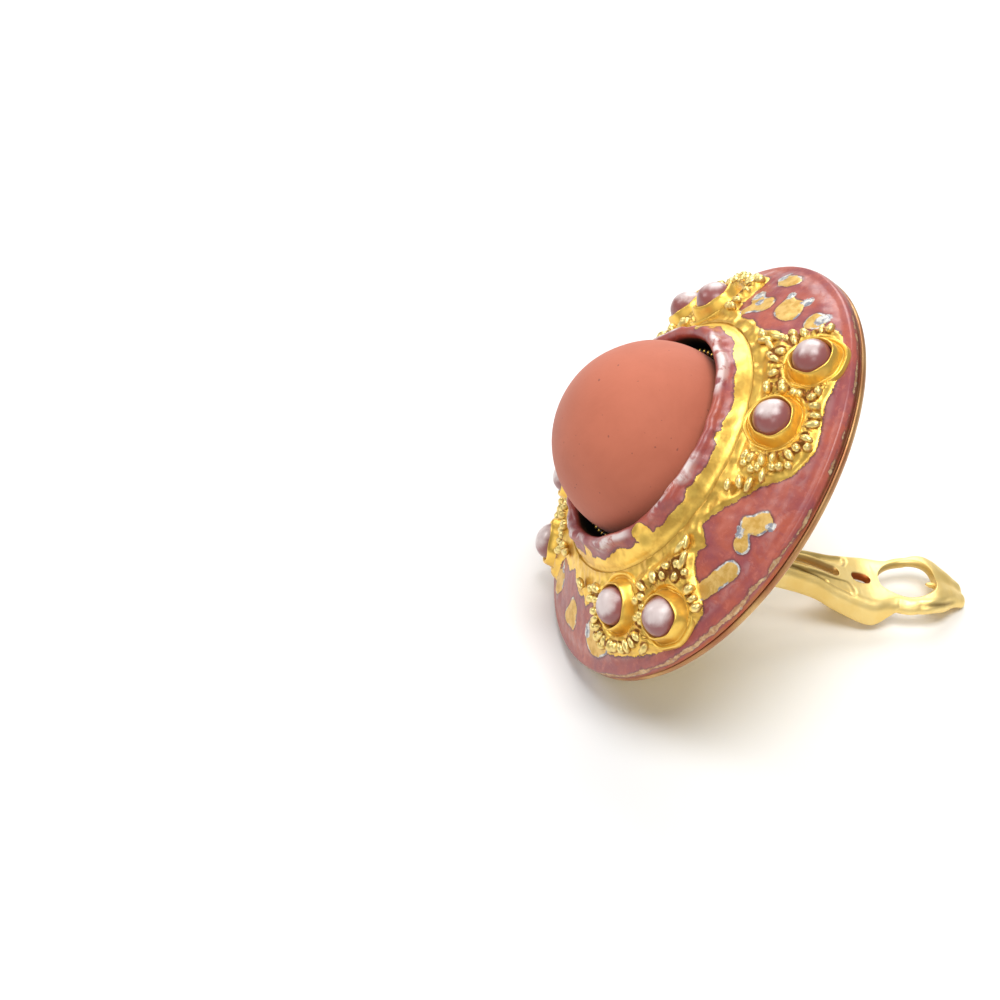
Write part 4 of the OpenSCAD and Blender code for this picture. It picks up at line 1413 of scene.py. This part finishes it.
def lever_path(s, long, width, drop, flat_from, sheet):
    """Middle of the sheet from an opening outwards and its normals, each as [point, axis,
    station], and the turn of the bend: flat, then an arc, then straight down the flange."""
    bend_r = 0.5
    hemmed = soft_step((0.985 * long - s) / (0.09 * long))
    bent = np.radians(28 + 52 * hemmed + 10 * soft_step((0.75 * long - s) / (0.1 * long)))
    fall = np.maximum(drop - bend_r - sheet / 2, 0.02) * soft_step(np.degrees(bent) / 90)
    flat = width - sheet / 2 - bend_r * np.sin(bent) - fall * np.cos(bent) - flat_from
    flat = np.maximum(flat, 0.03)
    path = [(flat_from + flat * share, 0 * s) for share in np.linspace(0, 1, 26)]
    normal = [(0 * s, 1 + 0 * s)] * len(path)
    for share in np.linspace(0, 1, 9)[1:]:
        turn = bent * share
        path.append((flat_from + flat + bend_r * np.sin(turn), bend_r * (np.cos(turn) - 1)))
        normal.append((np.sin(turn), np.cos(turn)))
    corner = path[-1]
    for share in np.linspace(0, 1, 7)[1:]:
        path.append((corner[0] + fall * share * np.cos(bent),
                     corner[1] - fall * share * np.sin(bent)))
        normal.append((np.sin(bent), np.cos(bent)))
    return np.array(path), np.array(normal), bent


def pressed(s, long, width, path, normal):
    """Presses the lever's relief into its path and returns the painted shade in its creases: a
    hollow with a groove and a slit along each arm, a swell across the loop, and a hem line round the
    loop's bend. Each is a product of soft steps in mm from the pin and from the middle."""
    hollow_from, hollow_to, arm_middle = 1.8, 13.7, 1.9
    groove_from, groove_to, slit_from, swell_from = 2.2, 11.4, 10.4, 14.5
    across = path[:, 0].copy()
    window = soft_step((s - hollow_from) / 1.2)
    window = window * soft_step((hollow_to - 0.5 * (across - arm_middle) ** 2 - s) / 0.55)
    hollow = window * soft_step((across - 0.85) / 0.22) * soft_step((width - 0.5 - across) / 0.22)
    groove_x = width - 0.72 - 0.02 * (s - 2)
    beside_groove = 1 - np.clip(np.abs(across - groove_x) / 0.75, 0, 1)
    groove = np.exp(-((across - groove_x) / 0.1) ** 2)
    groove *= soft_step((s - groove_from) / 1.5) * soft_step((groove_to - s) / 0.3)
    slit = groove * soft_step((s - slit_from) / 0.3)
    height = -0.1 * hollow - 0.2 * hollow * beside_groove - 0.08 * groove - 0.2 * slit
    swell = 1 - np.cos(TURN * np.clip(across / width, 0, 1))
    height += 0.06 * swell * soft_step((s - swell_from) / 2)
    on_flat = normal[:, 1] > 0.9
    path[:, 1] += height * on_flat

    # Painted shade: lines along the hollow's border, in the groove and the slit, round the hem and
    # along the bend
    border = hollow * (1 - hollow) * 4
    marks = np.maximum(np.maximum(0.7 * border, 0.95 * groove), slit) * on_flat
    bend_turn = np.arctan2(normal[:, 0], normal[:, 1])
    hem_turn, edge_turn = 0.8, 0.3
    hem = np.exp(-((bend_turn - hem_turn) / 0.2) ** 2) * soft_step((s - 0.76 * long) / 2.2)
    hem *= soft_step((0.955 * long - s) / 1.2)
    edge_line = np.exp(-((bend_turn - edge_turn) / 0.16) ** 2) * window
    path -= 0.12 * hem[:, None] * normal
    return np.maximum(marks, np.maximum(0.85 * hem, 0.5 * edge_line))


class EARRING_OT_lever(bpy.types.Operator):
    """Sprung lever: two arms with bent-down flanges, shoulders, an open loop and a lip"""

    bl_idname = "earring.lever"
    bl_label = "Lever"

    def execute(self, context):
        """A strip carried along the lever: at each station it runs flat from the slot or hole to
        the bend, round the bend, and down the flange. Its two faces stand half the sheet's
        thickness off that path, and half circles join them."""
        sizes = context.scene.earring_sizes
        long, arm, shoulder, loop, rim, slot, sheet = mm(
            sizes, "lever_length", "arm_width", "shoulder_width", "loop_width", "loop_rim",
            "slot_width", "sheet")
        slot_first, slot_last = SLOT_FROM * long - slot / 2, SLOT_TO * long + slot / 2
        catch_first, catch_last = CATCH_FROM * long, CATCH_FROM * long + CATCH_LONG
        s = lever_stations([HEEL * long, slot_first, slot_last, catch_first, catch_last,
                            HOLE_FROM * long, HOLE_TO * long, long])
        middle = along_lever(LEVER_LINE, s, long, 1)
        width = along_lever(LEVER_WIDTH, s, long, arm, shoulder, loop)
        foot = along_lever(LEVER_FOOT, s, long, 1)

        # Half widths of the slot, the catch and the hole
        past_ends = np.maximum(slot_first + slot / 2 - s, s - slot_last + slot / 2)
        gap = slot / 2 * arch(np.clip(past_ends / (slot / 2), 0, 1)) * (s < slot_last)
        gap *= 1 - 0.3 * soft_step((s - 0.2 * long) / (0.3 * long))
        catch_share = np.clip((s - catch_first) / (catch_last - catch_first), 0, 1)
        catch = 0.42 * arch(catch_share * 2 - 1)
        swing = np.clip((s / long - HOLE_MIDDLE) / HOLE_HALF, -1, 1)
        hole = (loop / 2 - rim) * arch(swing) * (1 + 0.12 * swing)
        opening = np.maximum(np.maximum(gap, catch), hole)

        from_ends = np.minimum(s - HEEL * long, long - s) / (0.5 * sheet)
        half_t = sheet / 2 * arch(1 - np.clip(from_ends, 0.004, 1))
        bulge = np.minimum(opening, half_t * 0.9)
        flat_from = opening + bulge
        path, normal, bent = lever_path(s, long, width, np.maximum(middle - foot, 0), flat_from,
                                        sheet)
        marks = pressed(s, long, width, path, normal)

        # Cross sections: upper side, round lower edge, underside, round edge of the opening
        ahead = np.array([np.cos(bent), -np.sin(bent)])
        lower_edge = [path[-1] + half_t * (normal[-1] * np.cos(turn) + ahead * np.sin(turn))
                      for turn in ROUND_EDGE]
        inner_edge = [(flat_from - bulge * np.sin(turn), path[0, 1] - half_t * np.cos(turn))
                      for turn in ROUND_EDGE]
        section = np.concatenate([path + half_t * normal, lower_edge,
                                  (path - half_t * normal)[::-1], inner_edge])
        count, size, edge_count = len(section), len(path), len(ROUND_EDGE)
        x, z = section[:, 0].T, section[:, 1].T + middle[:, None]
        y = np.repeat(s[:, None], count, 1)
        half_points = np.stack([x, y, z], -1).reshape(-1, 3)
        half_faces = grid_faces(len(s), count)[:, ::-1]
        # No faces where the two halves meet, but caps at the heel and at the tip
        on_middle = half_points[:, 0] < 1e-6
        half_faces = half_faces[~on_middle[half_faces].all(1)]
        top = np.arange(size)
        bottom = 2 * size + edge_count - 1 - top
        heel_cap = np.stack([top[:-1], top[1:], bottom[1:], bottom[:-1]], 1)
        tip_cap = heel_cap[:, ::-1] + (len(s) - 1) * count
        half_faces = np.vstack([half_faces, heel_cap, tip_cap])
        points = np.vstack([half_points, half_points * [-1, 1, 1]])
        faces = np.vstack([half_faces, half_faces[:, ::-1] + len(half_points)])

        # Painted shade in the creases on the upper side, and on the rims of the three openings
        crease, recess = np.zeros((2, count, len(s)))
        crease[:size] = marks
        in_gap, in_catch, in_hole = (
            (half > 0) | (np.roll(half, 1) > 0) | (np.roll(half, -1) > 0)
            for half in (gap, catch, hole)
        )
        crease[-edge_count:] = 0.5 * in_gap + 0.35 * in_hole
        recess[-edge_count:] = in_catch + 0.35 * in_gap * soft_step((s / long - 0.3) / 0.15)

        # A small spur on the loop's far rim
        columns = 16
        lift = np.linspace(-np.pi / 2 + 0.15, np.pi / 2 - 0.15, 9)
        ball, spur_faces = capped(turned(np.c_[np.cos(lift), np.sin(lift)], columns), columns)
        spur = np.c_[0.25 + 0.24 * ball[:, 0], 0.886 * long + 0.85 * ball[:, 2],
                     0.92 + 0.26 * ball[:, 1]]
        plain = np.zeros(len(spur))
        points, faces = joined([(on_pin(points, sizes.lever_angle), faces),
                                (on_pin(spur, sizes.lever_angle), spur_faces)])
        piece("sprung_lever", points, faces, finish_of(context, "clip"), "lever", "clip_lever",
              {"recess": np.append(np.tile(recess.T.ravel(), 2), plain),
                            "crease": np.append(np.tile(crease.T.ravel(), 2), plain)},
              merge=True)
        return {"FINISHED"}


# Studio

# Soft lights of the studio: name, place and width in metres, power in watts
SOFTBOXES = (
    ("key_softbox", (0.07, 0.02, 0.28), 0.17, 0.56),
    ("front_softbox", (-0.1, -0.21, 0.17), 0.11, 0.17),
    ("side_softbox", (0.25, -0.06, 0.2), 0.09, 0.13),
    ("back_softbox", (-0.21, 0.04, 0.17), 0.2, 0.42),
)
SOFTBOX_AIM = (0, 0, 0.012)
AIR_STRENGTH = 0.26
# The photograph's camera and the middle of its picture, in metres; its lens in mm
CAMERA_PLACE = (0.151742, -0.034581, 0.123454)
CAMERA_AIM = (-0.000455, -0.019849, 0.0119)
CAMERA_LENS = 91.1


def aimed(scene, name, data, place, aim):
    """A lamp or camera at one place that looks at another."""
    made = bpy.data.objects.new(name, data)
    made.location = place
    made.rotation_euler = (Vector(aim) - Vector(place)).to_track_quat("-Z", "Y").to_euler()
    scene.collection.objects.link(made)
    return made


class EARRING_OT_stage(bpy.types.Operator):
    """Pale floor, soft studio lights and the camera at the photograph's angle"""

    bl_idname = "earring.stage"
    bl_label = "Stage"

    def execute(self, context):
        """A flat square floor under the earring, large softboxes, and a camera aimed beside it."""
        scene = context.scene
        half = 1.5
        mesh = bpy.data.meshes.new("studio_floor")
        mesh.from_pydata([(-half, -half, 0), (half, -half, 0), (half, half, 0), (-half, half, 0)],
                         [], [(0, 1, 2, 3)])
        mesh.materials.append(studio_floor(scene.earring_colours))
        floor = bpy.data.objects.new("studio_floor", mesh)
        scene.collection.objects.link(floor)

        world = bpy.data.worlds.new("studio_air")
        world.use_nodes = True
        air = world.node_tree.nodes["Background"]
        plug(world.node_tree, air, {"Color": (1.0, 1.0, 1.0), "Strength": AIR_STRENGTH})
        scene.world = world

        for name, place, width, power in SOFTBOXES:
            light = bpy.data.lights.new(name, "AREA")
            light.shape = "DISK"
            light.size = width
            light.energy = power
            aimed(scene, name, light, place, SOFTBOX_AIM)

        view = bpy.data.cameras.new("studio_camera")
        view.lens = CAMERA_LENS
        view.sensor_width = 36
        view.clip_start, view.clip_end = 0.005, 10
        scene.camera = aimed(scene, "studio_camera", view, CAMERA_PLACE, CAMERA_AIM)
        scene.view_settings.view_transform = "Standard"
        return {"FINISHED"}


OPERATORS = (EARRING_OT_stage, EARRING_OT_flange, EARRING_OT_collar, EARRING_OT_sockets,
             EARRING_OT_granules, EARRING_OT_dome, EARRING_OT_pearls, EARRING_OT_back,
             EARRING_OT_lever)


class EARRING_PT_panel(bpy.types.Panel):
    """Sizes, colours and pieces of the earring"""

    bl_idname = "EARRING_PT_panel"
    bl_label = "Button earring"
    bl_space_type = "VIEW_3D"
    bl_region_type = "UI"
    bl_category = "Earring"

    def draw(self, context):
        """Lists the operators, then the settings."""
        column = self.layout.column()
        for operator in OPERATORS:
            column.operator(operator.bl_idname)
        for settings in (context.scene.earring_sizes, context.scene.earring_colours):
            for name in settings.__annotations__:
                column.prop(settings, name)


CLASSES = (EarringSizes, EarringColours, *OPERATORS, EARRING_PT_panel)


def register():
    """Registers the classes and hangs the settings on the scene."""
    for item in CLASSES:
        bpy.utils.register_class(item)
    bpy.types.Scene.earring_sizes = bpy.props.PointerProperty(type=EarringSizes)
    bpy.types.Scene.earring_colours = bpy.props.PointerProperty(type=EarringColours)


def unregister():
    """Takes the settings and the classes away again."""
    del bpy.types.Scene.earring_colours
    del bpy.types.Scene.earring_sizes
    for item in reversed(CLASSES):
        bpy.utils.unregister_class(item)


def main():
    register()
    for operator in OPERATORS:
        family, name = operator.bl_idname.split(".")
        getattr(getattr(bpy.ops, family), name)()


if __name__ == "__main__":
    main()
